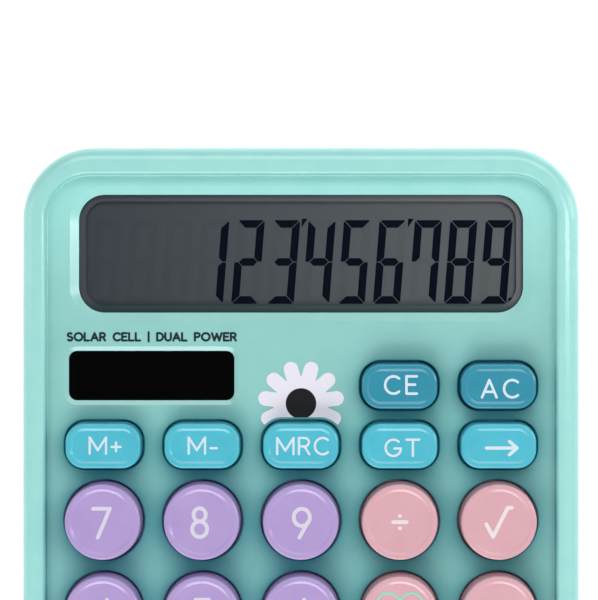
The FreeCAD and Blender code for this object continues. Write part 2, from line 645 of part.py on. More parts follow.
# ---------------------------------------------------------------- keys
def make_round_key(label, x, y):
    """A dished round cap on a flange, hollow below, with a post over its dome."""
    body = new_body(label, across=x, along=y)
    profile = new_sketch(body, label + "_profile", plane="XZ_Plane")
    top = "(key_rise - rim_height)"
    foot = "(round_hole - key_gap)"
    crown = "(%s - (key_rise + deck_wall) * tan(key_draft))" % foot
    ring = "(%s - key_ring)" % crown
    bowl_edge = "(%s - key_step_run)" % ring
    roof = "(%s - key_step - key_dish - key_skin)" % top
    lines = add_polygon(profile, "side", (
        (bowl_edge, "%s - key_step" % top), (ring, top), (crown, top), (foot, FLANGE_TOP),
        ("round_hole + flange", FLANGE_TOP), ("round_hole + flange", FLANGE_UNDER),
        ("%s - key_skin" % foot, FLANGE_UNDER), ("%s - key_skin" % crown, roof), ("key_stem", roof),
        ("key_stem", FLANGE_UNDER), ("0", FLANGE_UNDER), ("0", "%s - key_step - key_dish" % top)),
        open_end=True)
    reach, sink = number(bowl_edge), number("key_dish")
    sphere = (reach ** 2 + sink ** 2) / (2 * sink)
    centre = Vector(0, number("%s - key_step - key_dish" % top) + sphere, 0)
    half = math.asin(reach / sphere)
    arc = Part.ArcOfCircle(Part.Circle(centre, Vector(0, 0, 1), sphere), -math.pi / 2, -math.pi / 2 + half)
    bowl = profile.addGeometry(arc, False)
    profile.addConstraint([
        Sketcher.Constraint("Coincident", bowl, 1, lines[-1], 2),
        Sketcher.Constraint("Coincident", bowl, 2, lines[0], 1),
        Sketcher.Constraint("PointOnObject", bowl, 3, -2)])
    turn = body.newObject("PartDesign::Revolution", label + "_turn")
    turn.Profile = profile
    turn.ReferenceAxis = (profile, ["V_Axis"])
    turn.Angle = 360
    outer_edge = number(crown) + number(ring)
    fillet_level(body, number(top), "key_edge", label + "_edge", lambda b: b.XLength > outer_edge)
    return body


def make_oblong_key(label, x, y):
    """A dished oblong cap on a flange, hollow below, with a post over its dome."""
    body = new_body(label, across=x, along=y)
    top = "(oblong_rise - rim_height)"
    draft_inset = "((oblong_rise + deck_wall) * tan(key_draft))"
    cap = new_sketch(body, label + "_cap", z=FLANGE_TOP)
    add_rounded(cap, "cap", "oblong_hole_width - 2 * key_gap", "oblong_hole_length - 2 * key_gap",
                "oblong_corner - key_gap")
    add_pad(body, cap, "oblong_rise + deck_wall + flange_gap", taper="-key_draft")
    fillet_level(body, number(top), "key_edge", label + "_edge")
    dish = new_sketch(body, label + "_dish", z=top)
    rim_inset = "(%s + key_gap + key_ring)" % draft_inset
    add_rounded(dish, "dish", "oblong_hole_width - 2 * " + rim_inset,
                "oblong_hole_length - 2 * " + rim_inset, "oblong_corner - " + rim_inset)
    add_pocket(body, dish, "key_step", taper="-atan(key_step_run / key_step)")
    skirt = new_sketch(body, label + "_skirt", z=FLANGE_TOP)
    add_rounded(skirt, "skirt", "oblong_hole_width + 2 * flange", "oblong_hole_length + 2 * flange",
                "oblong_corner + flange")
    add_pad(body, skirt, "flange_wall", up=False)
    hollow = new_sketch(body, label + "_hollow", z=FLANGE_UNDER)
    add_rounded(hollow, "hollow", "oblong_hole_width - 2 * (key_gap + key_skin)",
                "oblong_hole_length - 2 * (key_gap + key_skin)", "oblong_corner - key_gap - key_skin")
    add_circle(hollow, "stem", "key_stem")
    add_pocket(body, hollow, "oblong_rise + deck_wall + flange_wall - key_skin - key_step", up=True,
               taper="-key_draft")
    return body


# ---------------------------------------------------------------- inside
def plain_plate(label, width, length, corner, wall, z, x="0", y="0"):
    """A flat plate with round corners whose upper face is at height z."""
    body = new_body(label)
    outline = new_sketch(body, label + "_outline", z=z)
    add_rounded(outline, "outline", width, length, corner, x, y)
    add_pad(body, outline, wall, up=False)
    return body


def make_display_stack():
    parts = [
        plain_plate("display_lens", "window_width", "window_length", "window_corner", "lens_wall",
                    LENS_TOP, "0", "window_y"),
        plain_plate("lcd_glass", "glass_width", "glass_length", "glass_corner", "glass_wall", GLASS_TOP,
                    "0", "window_y"),
        plain_plate("lcd_reflector", "glass_width - 2 * glass_corner",
                    "glass_length - 2 * contact_strip - 2 * glass_corner", "glass_corner",
                    "reflector_wall", GLASS_UNDER, "0", "window_y + contact_strip"),
    ]
    gasket = plain_plate("lcd_gasket", "glass_width", "glass_length", "glass_corner", "gasket_wall",
                         DECK_UNDER, "0", "window_y")
    opening = new_sketch(gasket, "lcd_gasket_opening", z=DECK_UNDER)
    add_rounded(opening, "opening", "window_width - 2 * ledge", "window_length - 2 * ledge",
                "window_corner - ledge", "0", "window_y")
    add_pocket(gasket, opening, "gasket_wall + overcut")
    tray = plain_plate("lcd_tray", "tray_width", "tray_length", "tray_corner",
                       "gasket_wall + glass_wall + reflector_wall + tray_wall", DECK_UNDER, "0", "window_y")
    nest = new_sketch(tray, "lcd_tray_nest", z=DECK_UNDER)
    add_rounded(nest, "nest", "glass_width + 2 * nest_gap", "glass_length + 2 * nest_gap",
                "glass_corner + nest_gap", "0", "window_y")
    add_pocket(tray, nest, "gasket_wall + glass_wall + reflector_wall")
    slot = new_sketch(tray, "lcd_tray_slot", z=TRAY_FLOOR + " - tray_wall")
    slot_half = "(ribbon_width / 2 + ribbon_gap)"
    add_box_outline(slot, "slot", "-" + slot_half, slot_half, "window_y - tray_length / 2 - overcut",
                    "window_y - glass_length / 2 + contact_strip + ribbon_gap / 2")
    add_pocket(tray, slot, "tray_wall + 4 * slip", up=True)

    ribbon = new_body("lcd_ribbon")
    bond = "window_y - glass_length / 2"
    strip = new_sketch(ribbon, "lcd_ribbon_section", plane="YZ_Plane", z="-ribbon_width / 2")
    upper = ((bond + " + contact_strip", GLASS_UNDER), (bond, GLASS_UNDER),
             ("board_back + ribbon_drop", "-board_top + ribbon_wall"),
             ("board_back - ribbon_bond", "-board_top + ribbon_wall"))
    lower = [(y, "%s - ribbon_wall" % z) for y, z in reversed(upper)]
    add_polygon(strip, "strip", list(upper) + lower)
    add_pad(ribbon, strip, "ribbon_width")
    return parts + [gasket, tray, ribbon]


def make_solar_parts():
    cell_z = DECK_UNDER
    cell_width = "solar_width - 2 * ledge + 2 * solar_cell_margin"
    cell_length = "solar_length - 2 * ledge + 2 * solar_cell_margin"
    pad_z = "-(rim_height + deck_wall + solar_cell_wall)"
    return [
        plain_plate("solar_window", "solar_width", "solar_length", "solar_corner", "lens_wall",
                    LENS_TOP, "solar_x", "solar_y"),
        plain_plate("solar_cell", cell_width, cell_length, "glass_corner", "solar_cell_wall", cell_z,
                    "solar_x", "solar_y"),
        plain_plate("solar_pad", "solar_pad_width", "solar_pad_length", "glass_corner",
                    "board_top - rim_height - deck_wall - solar_cell_wall", pad_z, "solar_x", "solar_y"),
    ]


def make_rubber_keypad():
    """One moulded sheet with a hollow dome under every key."""
    body = new_body("rubber_keypad")
    sheet_sketch = new_sketch(body, "keypad_sheet", z="-board_top")
    side = "(board_width / 2 - mat_inset)"
    front = "board_front + mat_inset"
    add_polygon(sheet_sketch, "sheet", (
        ("-" + side, front), (side, front), (side, "mat_right_back"), ("mat_notch", "mat_right_back"),
        ("mat_notch", "mat_back"), ("-" + side, "mat_back")))
    add_pad(body, sheet_sketch, "mat_wall")
    domes = new_sketch(body, "keypad_domes", z=MAT_TOP)
    blisters = new_sketch(body, "keypad_blisters", z="-board_top")
    for label, (x, y) in list(round_places.items()) + list(oblong_places.items()):
        size = " * oblong_dome" if label in oblong_places else ""
        add_circle(domes, label, "dome_base" + size, x, y)
        add_circle(blisters, label, "(dome_base - dome_wall)" + size, x, y)
    rise = "(board_top - mat_wall - rim_height - deck_wall - flange_gap - flange_wall)"
    add_pad(body, domes, rise, taper="-atan((dome_base - dome_top) / %s)" % rise)
    add_pocket(body, blisters, rise + " + mat_wall - dome_roof", up=True,
               taper="-atan((dome_base - dome_top) / %s)" % rise)
    holes = new_sketch(body, "keypad_holes", z=MAT_TOP)
    for index, (x, y) in enumerate(board_screw_places[:4]):
        add_circle(holes, "post%d" % index, "board_boss + mat_clearance", x, y)
    for index, sx in enumerate(("-", "")):
        add_circle(holes, "boss%d" % index, "boss + mat_clearance", sx + "case_screw_x", "middle_screw_y")
    add_pocket(body, holes, "mat_wall + overcut")
    return body


def make_circuit_board():
    body = new_body("circuit_board")
    outline = new_sketch(body, "board_outline", z="-board_top")
    add_box_outline(outline, "board", "-board_width / 2", "board_width / 2", "board_front", "board_back")
    for index, (x, y) in enumerate(board_screw_places):
        add_circle(outline, "screw%d" % index, "board_screw_shank + 2 * slip", x, y)
    for index, sx in enumerate(("-", "")):
        add_circle(outline, "boss%d" % index, "boss + mat_clearance", sx + "case_screw_x", "middle_screw_y")
    add_pad(body, outline, "board_wall", up=False)
    return body


def make_board_fittings():
    """The chip's resin blob and the loose components, on the board's underside."""
    blob = new_body("chip_blob")
    spot = new_sketch(blob, "chip_blob_outline", z=BOARD_UNDER)
    add_rounded(spot, "blob", "chip_size", "chip_size", "chip_size / 3", "0", "0.75 * key_pitch_x")
    add_pad(blob, spot, "chip_rise", up=False, taper="-30")
    cans = [cylinder("capacitor_%d" % index, "capacitor_radius", "capacitor_rise", place_in_deck,
                     "capacitor_x + %d * capacitor_pitch" % index, "capacitor_y",
                     BOARD_UNDER + " - capacitor_rise") for index in range(2)]
    chips = [box("resistor_%d" % index,
                 ("resistor_x + %d * resistor_pitch" % index,
                  "resistor_x + %d * resistor_pitch + resistor_width" % index),
                 ("resistor_y", "resistor_y + resistor_length"),
                 (BOARD_UNDER + " - resistor_rise", BOARD_UNDER), place_in_deck) for index in range(4)]
    parts = doc.addObject("Part::Compound", "board_components")
    parts.Label = "board_components"
    parts.Links = cans + chips
    return [blob, parts]


def make_screws():
    """Two sets of round-headed self-tapping screws with cross recesses."""
    sets = []
    for label, places, seat, head, head_wall, shank, length in (
            ("case_screws", case_screw_places, "screw_seat", "screw_head", "screw_head_wall",
             "screw_shank", "screw_length"),
            ("board_screws", board_screw_places, "board_top + board_wall", "board_screw_head",
             "board_screw_head_wall", "board_screw_shank", "board_screw_length")):
        screws = []
        for index, (x, y) in enumerate(places):
            name = "%s_%d" % (label, index)
            low = "-(%s + %s)" % (seat, head_wall)
            heads = cylinder(name + "_head", head, head_wall, place_in_deck, x, y, low)
            thread = cylinder(name + "_thread", shank, "%s + %s" % (length, head_wall),
                              place_in_deck, x, y, low)
            slots = []
            reach = "slot_reach * " + shank
            for turn, (wide, deep) in enumerate((("slot_half", reach), (reach, "slot_half"))):
                slots.append(box("%s_slot_%d" % (name, turn), ("%s - %s" % (x, wide), "%s + %s" % (x, wide)),
                                 ("%s - %s" % (y, deep), "%s + %s" % (y, deep)),
                                 (low + " - slip", low + " + slot_deep"), place_in_deck))
            screws.append(cut(name, fuse(name + "_blank", [heads, thread]), fuse(name + "_cross", slots)))
        group = doc.addObject("Part::Compound", label)
        group.Label = label
        group.Links = screws
        sets.append(group)
    return sets


def make_feet():
    feet = []
    for side, sx in (("left", "-"), ("right", "")):
        for end, y in (("front", "front_foot_y"), ("back", "back_foot_y")):
            label = "foot_%s_%s" % (end, side)
            body = new_body(label, place_on_base, sx + "foot_x", y, "-foot_height")
            disc = new_sketch(body, label + "_disc")
            add_circle(disc, "disc", "foot_radius")
            add_pad(body, disc, "foot_height + foot_recess")
            fillet_level(body, 0.0, "foot_round", label + "_edge")
            feet.append(body)
    return feet


def turned_along_x(item, x, y, z):
    """Lay a cylinder on its side along X, at a point of the base frame."""
    item.Placement = Placement(Vector(), Rotation(Vector(0, 1, 0), 90))
    place_on_base(item, x, y, z)


def make_battery_parts():
    low_x = "cell_x - cell_length / 2"
    can = cylinder("cell_can", "cell_radius", "cell_length - nub_rise", turned_along_x, low_x, "cell_y",
                   "cell_z")
    nub = cylinder("cell_nub", "nub_radius", "cell_length", turned_along_x, low_x, "cell_y", "cell_z")
    cell_part = fuse("battery_cell", [can, nub])
    end = "(bay_width / 2)"
    across = ("cell_y - contact_half_width", "cell_y + contact_half_width")
    above = ("cell_z - contact_half_height", "cell_z + contact_half_height")
    plus = box("battery_contact", (end + " - contact_wall", end), across, above)
    plate = box("spring_plate", ("-" + end, "-" + end + " + contact_wall"), across, above)
    helix = doc.addObject("Part::Helix", "spring_path")
    # the wire's first turn is let into the plate, and its last stops just short of the cell
    coil_start = "(-%s + contact_wall - slip)" % end
    coil_reach = "(%s - %s - spring_wire - slip)" % (low_x, coil_start)
    helix.setExpression("Pitch", formula(coil_reach + " / spring_turns"))
    helix.setExpression("Height", formula(coil_reach))
    helix.setExpression("Radius", formula("spring_radius"))
    helix.Angle = -4
    helix.Placement = Placement(Vector(), Rotation(Vector(0, 1, 0), 90))
    place_on_base(helix, coil_start, "cell_y", "cell_z")
    wire = doc.addObject("Part::Circle", "spring_wire")
    wire.setExpression("Radius", formula("spring_wire"))
    wire.Placement = Placement(Vector(), Rotation(Vector(0, 0, 1), Vector(0, 1, 0)))
    place_on_base(wire, coil_start, "cell_y", "cell_z - spring_radius")
    coil = doc.addObject("Part::Sweep", "spring_coil")
    coil.Sections = [wire]
    coil.Spine = (helix, ["Edge1"])
    coil.Solid = True
    coil.Frenet = True
    spring = fuse("battery_spring", [plate, coil])
    return [cell_part, plus, spring]


def route_tube(points, radius):
    """Sweep a round wire along straight runs joined by tangent arcs."""
    edges = []
    start = points[0]
    for before, corner, after in zip(points, points[1:], points[2:]):
        into, out = (corner - before), (after - corner)
        turn = into.getAngle(out)
        cutback = 0.45 * min(into.Length, out.Length)
        into.normalize()
        out.normalize()
        enter, leave = corner - into * cutback, corner + out * cutback
        side = out - into
        side.normalize()
        bend = cutback / math.tan(turn / 2)
        middle = corner + side * (bend / math.cos(turn / 2) - bend)
        edges += [Part.LineSegment(start, enter).toShape(), Part.Arc(enter, middle, leave).toShape()]
        start = leave
    edges.append(Part.LineSegment(start, points[-1]).toShape())
    path = Part.Wire(edges)
    heading = points[1] - points[0]
    section = Part.Wire([Part.Circle(points[0], heading, radius).toShape()])
    tube = path.makePipeShell([section], True, True)
    print("lead", round(path.Length, 1), "volume", round(tube.Volume, 2),
          "expected", round(math.pi * radius ** 2 * path.Length, 2))
    return tube


def make_leads():
    """Battery wires over the bay's roof to the board, and solar wires straight down to it."""
    wire = number("lead_radius")
    level = number("-board_top + slip / 2") + wire
    leads = []
    for label, side in (("battery_lead_positive", 1), ("battery_lead_negative", -1)):
        route = ((25.0, 50.5), (29.5, 45.0), (33.4, 38.6), (34.0, 31.6))
        leads.append((label, [Vector(side * x, y, level) for x, y in route]))
    edge = number("solar_width / 2 - ledge + solar_cell_margin - lead_radius - slip")
    under_cell = number("-(rim_height + deck_wall + solar_cell_wall) - slip / 5")
    on_board = number("-board_top + slip / 5")
    for label, side in (("solar_lead_positive", 1), ("solar_lead_negative", -1)):
        x, y = number("solar_x") + side * edge, number("solar_y")
        leads.append((label, [Vector(x, y, under_cell), Vector(x, y, on_board)]))
    items = []
    for label, points in leads:
        item = doc.addObject("Part::Feature", label)
        item.Label = label
        item.Shape = route_tube(points, wire)
        place_in_deck(item)
        items.append(item)
    return items


# ---------------------------------------------------------------- assembly
upper = make_upper_shell()
block, lower = make_lower_shell()
subparts = [upper, lower, make_battery_door(block)]
subparts += [make_round_key(label, x, y) for label, (x, y) in round_places.items()]
subparts += [make_oblong_key(label, x, y) for label, (x, y) in oblong_places.items()]
subparts += make_display_stack() + make_solar_parts()
subparts += [make_rubber_keypad(), make_circuit_board()] + make_board_fittings()
subparts += make_screws() + make_feet() + make_battery_parts() + make_leads()
doc.recompute()

room_under_key = number("board_top - mat_wall - (rim_height + deck_wall + flange_gap + flange_wall)")
if room_under_key < number("key_travel"):
    raise RuntimeError("a key can't go down as far as it should")

# centre the whole case over the origin
whole = Part.makeCompound([item.Shape for item in subparts]).optimalBoundingBox(False)
shift_row = [name for name, value, note in DIMENSIONS].index("centre_shift") + 1
sheet.set("B%d" % shift_row, "%.4f" % (-(whole.YMin + whole.YMax) / 2))
doc.recompute()

for item in doc.Objects:
    if "Invalid" in item.State or "Error" in item.State:
        raise RuntimeError("%s failed: %s" % (item.Label, item.State))
os.makedirs("parts", exist_ok=True)
for item in subparts:
    if item.Shape.isNull() or not item.Shape.isValid():
        raise RuntimeError(item.Label + " has no valid shape")
    item.Shape.exportStep("parts/%s.step" % item.Label)
print(len(subparts), "sub-parts")
whole = Part.makeCompound([item.Shape for item in subparts]).optimalBoundingBox(False)
print("box", [round(v, 2) for v in (whole.XMin, whole.XMax, whole.YMin, whole.YMax, whole.ZMin, whole.ZMax)])
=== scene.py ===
# %% [markdown]
# # A desk calculator in gloss ABS
# The real object is a wedge of injection-moulded ABS: a rounded rim stands round a sunk deck, and dished
# keys come up through holes in it. The CAD model already holds every shape, size and joint. This script
# gives it its finishes, prints its legends, draws what the liquid crystal shows, and lights it for a
# plain studio picture.

# %% Load the frame
import json
import math

import bpy
import numpy as np
from mathutils import Matrix, Vector
from mathutils.bvhtree import BVHTree


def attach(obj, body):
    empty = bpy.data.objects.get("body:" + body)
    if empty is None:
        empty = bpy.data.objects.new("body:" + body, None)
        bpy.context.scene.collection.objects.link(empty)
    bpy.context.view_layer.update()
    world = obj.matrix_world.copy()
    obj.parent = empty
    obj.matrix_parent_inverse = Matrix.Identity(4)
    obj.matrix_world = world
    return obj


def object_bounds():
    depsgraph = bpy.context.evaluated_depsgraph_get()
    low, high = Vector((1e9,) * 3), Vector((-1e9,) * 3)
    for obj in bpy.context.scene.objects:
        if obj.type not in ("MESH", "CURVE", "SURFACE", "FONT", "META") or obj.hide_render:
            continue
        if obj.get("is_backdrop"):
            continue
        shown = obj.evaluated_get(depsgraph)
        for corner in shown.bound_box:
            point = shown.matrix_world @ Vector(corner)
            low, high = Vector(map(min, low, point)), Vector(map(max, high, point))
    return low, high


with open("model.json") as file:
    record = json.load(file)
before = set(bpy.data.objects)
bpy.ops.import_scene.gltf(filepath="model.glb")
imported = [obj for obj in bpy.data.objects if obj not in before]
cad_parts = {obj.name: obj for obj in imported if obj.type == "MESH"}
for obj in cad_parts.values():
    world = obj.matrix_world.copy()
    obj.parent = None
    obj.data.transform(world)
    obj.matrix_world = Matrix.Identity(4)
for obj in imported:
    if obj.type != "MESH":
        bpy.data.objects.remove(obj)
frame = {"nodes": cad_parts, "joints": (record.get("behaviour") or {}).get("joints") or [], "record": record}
cad_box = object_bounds()
nodes = frame["nodes"]
print("nodes", len(nodes), "size mm", [round(v * 1000, 1) for v in cad_box[1] - cad_box[0]])

# %% [markdown]
# ## The deck's own frame
# The deck slopes up towards the display, so work on it is easiest in its own frame: x to the right, y up
# the slope, z out of the keys, in millimetres, with z = 0 in the plane of the rim. A key moves square to
# the deck, so its joint's axis gives the slope, and the upper shell's own points give the middle of the
# rim.

# %% Measure the slope and the rim
MM = 0.001
press = Vector(next(j["axis"] for j in frame["joints"] if j["name"] == "key_7_press")).normalized()
OUT = -press
RIGHT = Vector((1, 0, 0))
UP_SLOPE = OUT.cross(RIGHT)


def deck_points(node):
    """A node's vertices in the deck's frame, before its origin is taken off, in millimetres."""
    points = np.empty(len(nodes[node].data.vertices) * 3)
    nodes[node].data.vertices.foreach_get("co", points)
    axes = np.array((RIGHT, UP_SLOPE, OUT)).T
    return points.reshape(-1, 3) @ axes / MM


shell = deck_points("upper_shell")
origin = np.array((0.0, (shell[:, 1].min() + shell[:, 1].max()) / 2, shell[:, 2].max()))
case_width = shell[:, 0].max() - shell[:, 0].min()
case_length = shell[:, 1].max() - shell[:, 1].min()
print("slope", round(math.degrees(math.acos(OUT.z)), 2), "case", round(case_width, 1), round(case_length, 1))


def deck(x, y, z=0.0):
    """The point in the model's frame, in metres, of a point on the deck's frame, in millimetres."""
    return (RIGHT * (x + origin[0]) + UP_SLOPE * (y + origin[1]) + OUT * (z + origin[2])) * MM


def deck_box(node):
    """Lowest and highest corner of a node in the deck's frame, in millimetres."""
    points = deck_points(node) - origin
    return points.min(0), points.max(0)


def deck_centre(node):
    low, high = deck_box(node)
    return (low + high) / 2


# %% Find a surface from above
trees = {}


def surface(node, x, y):
    """Height of a node's upper surface over a point of the deck's frame, in millimetres."""
    if node not in trees:
        mesh = nodes[node].data
        trees[node] = BVHTree.FromPolygons([v.co for v in mesh.vertices], [p.vertices for p in mesh.polygons])
    start = deck(x, y, 30)
    hit = trees[node].ray_cast(start, -OUT)[0]
    if hit is None:
        raise ValueError("%s has no surface at %.1f, %.1f" % (node, x, y))
    return 30 - (hit - start).length / MM


DECK_Z = surface("upper_shell", 0, 36)
print("deck is", round(-DECK_Z, 2), "mm under the rim")

# %% [markdown]
# ## Camera, light and floor
# A product picture of a flat thing is taken with the camera square to its face, so that its sides stay
# parallel. The camera here stands half a metre off and square to the rim. The main light is at the near
# end, a little to the left. A broad one beyond the display lifts the rim, dim ones at both sides open the
# shadows, and two narrow strips put the fine highlights on slopes that face right. The room is light, but
# a dark card round the camera keeps the flat windows from mirroring it. The floor is plain white and
# glows a little.

# %% Stand the camera square to the rim
IMAGE_WIDTH = 598
IMAGE_HEIGHT = 600
CAMERA_DISTANCE = 520.0
FRAME_WIDTH = 121.0
VIEW_CENTRE = Vector((-0.35, 43.7))
CAMERA_FOOT = Vector((6.5, 57.0))
SENSOR = 36.0

camera_data = bpy.data.cameras.new("camera")
camera_data.sensor_width = SENSOR
camera_data.lens = SENSOR * CAMERA_DISTANCE / (FRAME_WIDTH * IMAGE_HEIGHT / IMAGE_WIDTH)
camera_data.shift_x = (VIEW_CENTRE.x - CAMERA_FOOT.x) / FRAME_WIDTH
camera_data.shift_y = (VIEW_CENTRE.y - CAMERA_FOOT.y) / FRAME_WIDTH
camera = bpy.data.objects.new("camera", camera_data)
bpy.context.scene.collection.objects.link(camera)
bpy.context.scene.camera = camera
camera.location = deck(CAMERA_FOOT.x, CAMERA_FOOT.y, CAMERA_DISTANCE)
camera.rotation_mode = "QUATERNION"
camera.rotation_quaternion = Matrix((RIGHT, UP_SLOPE, OUT)).transposed().to_quaternion()
print("lens", round(camera_data.lens, 1))
print("shift", round(camera_data.shift_x, 3), round(camera_data.shift_y, 3))


# %% Colours and nodes
def linear(code, alpha=1.0):
    """Turn an sRGB hex code into the linear colour that shaders work in."""
    shares = [int(code[i:i + 2], 16) / 255 for i in (1, 3, 5)]
    return [s / 12.92 if s <= 0.04045 else ((s + 0.055) / 1.055) ** 2.4 for s in shares] + [alpha]


def add_node(tree, kind, settings=None, links=None):
    """Add one shader node; settings fill its fields and sockets, links feed its sockets."""
    node = tree.nodes.new(kind)
    for name, value in (settings or {}).items():
        if isinstance(name, str) and hasattr(node, name):
            setattr(node, name, value)
        else:
            node.inputs[name].default_value = value
    for name, source in (links or {}).items():
        tree.links.new(source, node.inputs[name])
    return node


def new_material(name):
    """An empty node tree with the output node, and the position on the object in metres."""
    material = bpy.data.materials.new(name)
    material.use_nodes = True
    tree = material.node_tree
    tree.nodes.clear()
    output = add_node(tree, "ShaderNodeOutputMaterial")
    place = add_node(tree, "ShaderNodeTexCoord").outputs["Object"]
    return material, tree, output, place


# %% Soft lights and a white floor
def area_light(name, x, y, z, aim, size, power, colour="#ffffff"):
    """A rectangular light at a point of the deck's frame, turned towards another point of it."""
    data = bpy.data.lights.new(name, "AREA")
    data.shape = "RECTANGLE"
    data.size, data.size_y = size[0] * MM, size[1] * MM
    data.energy = power
    data.color = linear(colour)[:3]
    light = bpy.data.objects.new(name, data)
    bpy.context.scene.collection.objects.link(light)
    light.location = deck(x, y, z)
    light.rotation_mode = "QUATERNION"
    light.rotation_quaternion = (deck(*aim) - light.location).to_track_quat("-Z", "Y")
    return light


area_light("softbox_near", -110, -460, 330, (0, 0, 0), (520, 240), 2.25)
area_light("softbox_far", 60, 430, 420, (0, 70, 0), (760, 260), 1.62)
area_light("strip_right", 300, 60, 480, (0, 20, 0), (30, 200), 0.3)
area_light("strip_window", 165, 70, 480, (-45, 60, 0), (22, 70), 0.1)
area_light("softbox_right", 560, 160, 200, (40, 20, 0), (180, 420), 0.75)
area_light("softbox_left", -560, 120, 220, (-40, 20, 0), (200, 420), 0.38)

world = bpy.data.worlds.new("studio")
world.use_nodes = True
tree = world.node_tree
tree.nodes.clear()
direction = add_node(tree, "ShaderNodeTexCoord").outputs["Generated"]
facing = add_node(tree, "ShaderNodeVectorMath", {"operation": "DOT_PRODUCT", 1: OUT}, {0: direction})
ROOM_LIGHT, CARD_LIGHT = 0.36, 0.05
CARD_EDGE, CARD_MIDDLE = math.cos(math.radians(26)), math.cos(math.radians(11))
strength = add_node(tree, "ShaderNodeMapRange", {
    "interpolation_type": "SMOOTHSTEP", "From Min": CARD_EDGE, "From Max": CARD_MIDDLE,
    "To Min": ROOM_LIGHT, "To Max": CARD_LIGHT}, {0: facing.outputs["Value"]})
room = add_node(tree, "ShaderNodeBackground", {"Color": linear("#fdfeff")},
                {"Strength": strength.outputs["Result"]})
add_node(tree, "ShaderNodeOutputWorld", None, {"Surface": room.outputs["Background"]})
bpy.context.scene.world = world
bpy.context.scene.view_settings.view_transform = "Standard"

FLOOR_SIZE = 4.0
floor_mesh = bpy.data.meshes.new("floor")
half = FLOOR_SIZE / 2
corners = [(-half, -half, 0), (half, -half, 0), (half, half, 0), (-half, half, 0)]
floor_mesh.from_pydata(corners, [], [(0, 1, 2, 3)])
floor = bpy.data.objects.new("floor", floor_mesh)
bpy.context.scene.collection.objects.link(floor)
floor_paint, tree, output, place = new_material("white_paper_sweep")
grain = add_node(tree, "ShaderNodeTexNoise", {"Scale": 400.0}, {"Vector": place})
tone = add_node(tree, "ShaderNodeMix", {"data_type": "RGBA", 6: linear("#fbfbfb"), 7: linear("#ffffff")},
                {0: grain.outputs["Fac"]})
GLOW = 0.42
paper = {"Roughness": 0.9, "Emission Color": linear("#ffffff"), "Emission Strength": GLOW}
table = add_node(tree, "ShaderNodeBsdfPrincipled", paper, {"Base Color": tone.outputs[2]})
tree.links.new(table.outputs["BSDF"], output.inputs["Surface"])
floor_mesh.materials.append(floor_paint)
floor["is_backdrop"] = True

# %% [markdown]
# ## Gloss ABS
# ABS is the plastic of most housings and keycaps. It comes out of a polished mould with a clear gloss, so
# its highlights are sharp, but its skin shrank a little as it cooled: a very weak, broad ripple breaks
# them up. Its pigment is a little uneven too. IOR of ABS is 1.54, and roughness about 0.2.
#
# On the sunk deck the case looks darker than on its rim, and darkest and bluest among the keys. Part of
# that is shadow, which the lights give. The rest is painted shade, put into the tint below and fitted: what
# causes it in the real case isn't known, and it is no measured property of ABS. The painted shade stays
# under other lights too, and towards the display end its factor passes one, which is painted light, so for
# another setting the two deck factors below should go to 1. How close the keys stand is found by comparing
# openness to everything with openness to the case alone.


# %% Moulded ABS
ABS_IOR = 1.54
KEY_REACH = 20 * MM
# The first factor darkens the sunk deck with painted shade; the second, above one, is painted light towards
# the display end.
SUNK_DECK_PAINTED_SHADE = 0.84
DISPLAY_END_PAINTED_LIGHT = 1.08


def painted_deck_shade(tree, place, tint, painted_shade_colour):
    """Fitted painted shade: scale the tint on the deck, and among the keys turn it towards the shade colour.
    """
    around = add_node(tree, "ShaderNodeAmbientOcclusion", {"samples": 12, "Distance": KEY_REACH})
    itself = add_node(tree, "ShaderNodeAmbientOcclusion",
                      {"samples": 12, "Distance": KEY_REACH, "only_local": True})
    keys_only = add_node(tree, "ShaderNodeMath", {"operation": "DIVIDE"},
                         {0: around.outputs["AO"], 1: itself.outputs["AO"]})
    openness = add_node(tree, "ShaderNodeMapRange", {"From Min": 0.4, "From Max": 1.0},
                        {0: keys_only.outputs[0]})
    # Painted shade among the keys: where they close the view, the tint turns towards the shade colour.
    painted_key_shade = add_node(tree, "ShaderNodeMix", {"data_type": "RGBA", 6: linear(painted_shade_colour)},
                      {0: openness.outputs["Result"], 7: tint})
    rise = add_node(tree, "ShaderNodeVectorMath", {"operation": "DOT_PRODUCT", 1: OUT}, {0: place})
    rim_height = OUT.dot(deck(0, 0, 0))
    climb = add_node(tree, "ShaderNodeVectorMath", {"operation": "DOT_PRODUCT", 1: UP_SLOPE}, {0: place})
    # Painted shade on the sunk deck, by a factor that climbs past one towards the display end, painted light
    # there; the rim keeps its tint.
    far = add_node(tree, "ShaderNodeMapRange", {
        "From Min": UP_SLOPE.dot(deck(0, 40)), "From Max": UP_SLOPE.dot(deck(0, 69)),
        "To Min": SUNK_DECK_PAINTED_SHADE, "To Max": DISPLAY_END_PAINTED_LIGHT}, {0: climb.outputs["Value"]})
    painted_sunk_shade = add_node(tree, "ShaderNodeMapRange", {
        "From Min": rim_height - 2.4 * MM, "From Max": rim_height - 0.6 * MM},
        {0: rise.outputs["Value"], "To Min": far.outputs["Result"]})
    toned = add_node(tree, "ShaderNodeVectorMath", {"operation": "SCALE"},
                     {0: painted_key_shade.outputs[2], "Scale": painted_sunk_shade.outputs["Result"]})
    return toned.outputs[0]


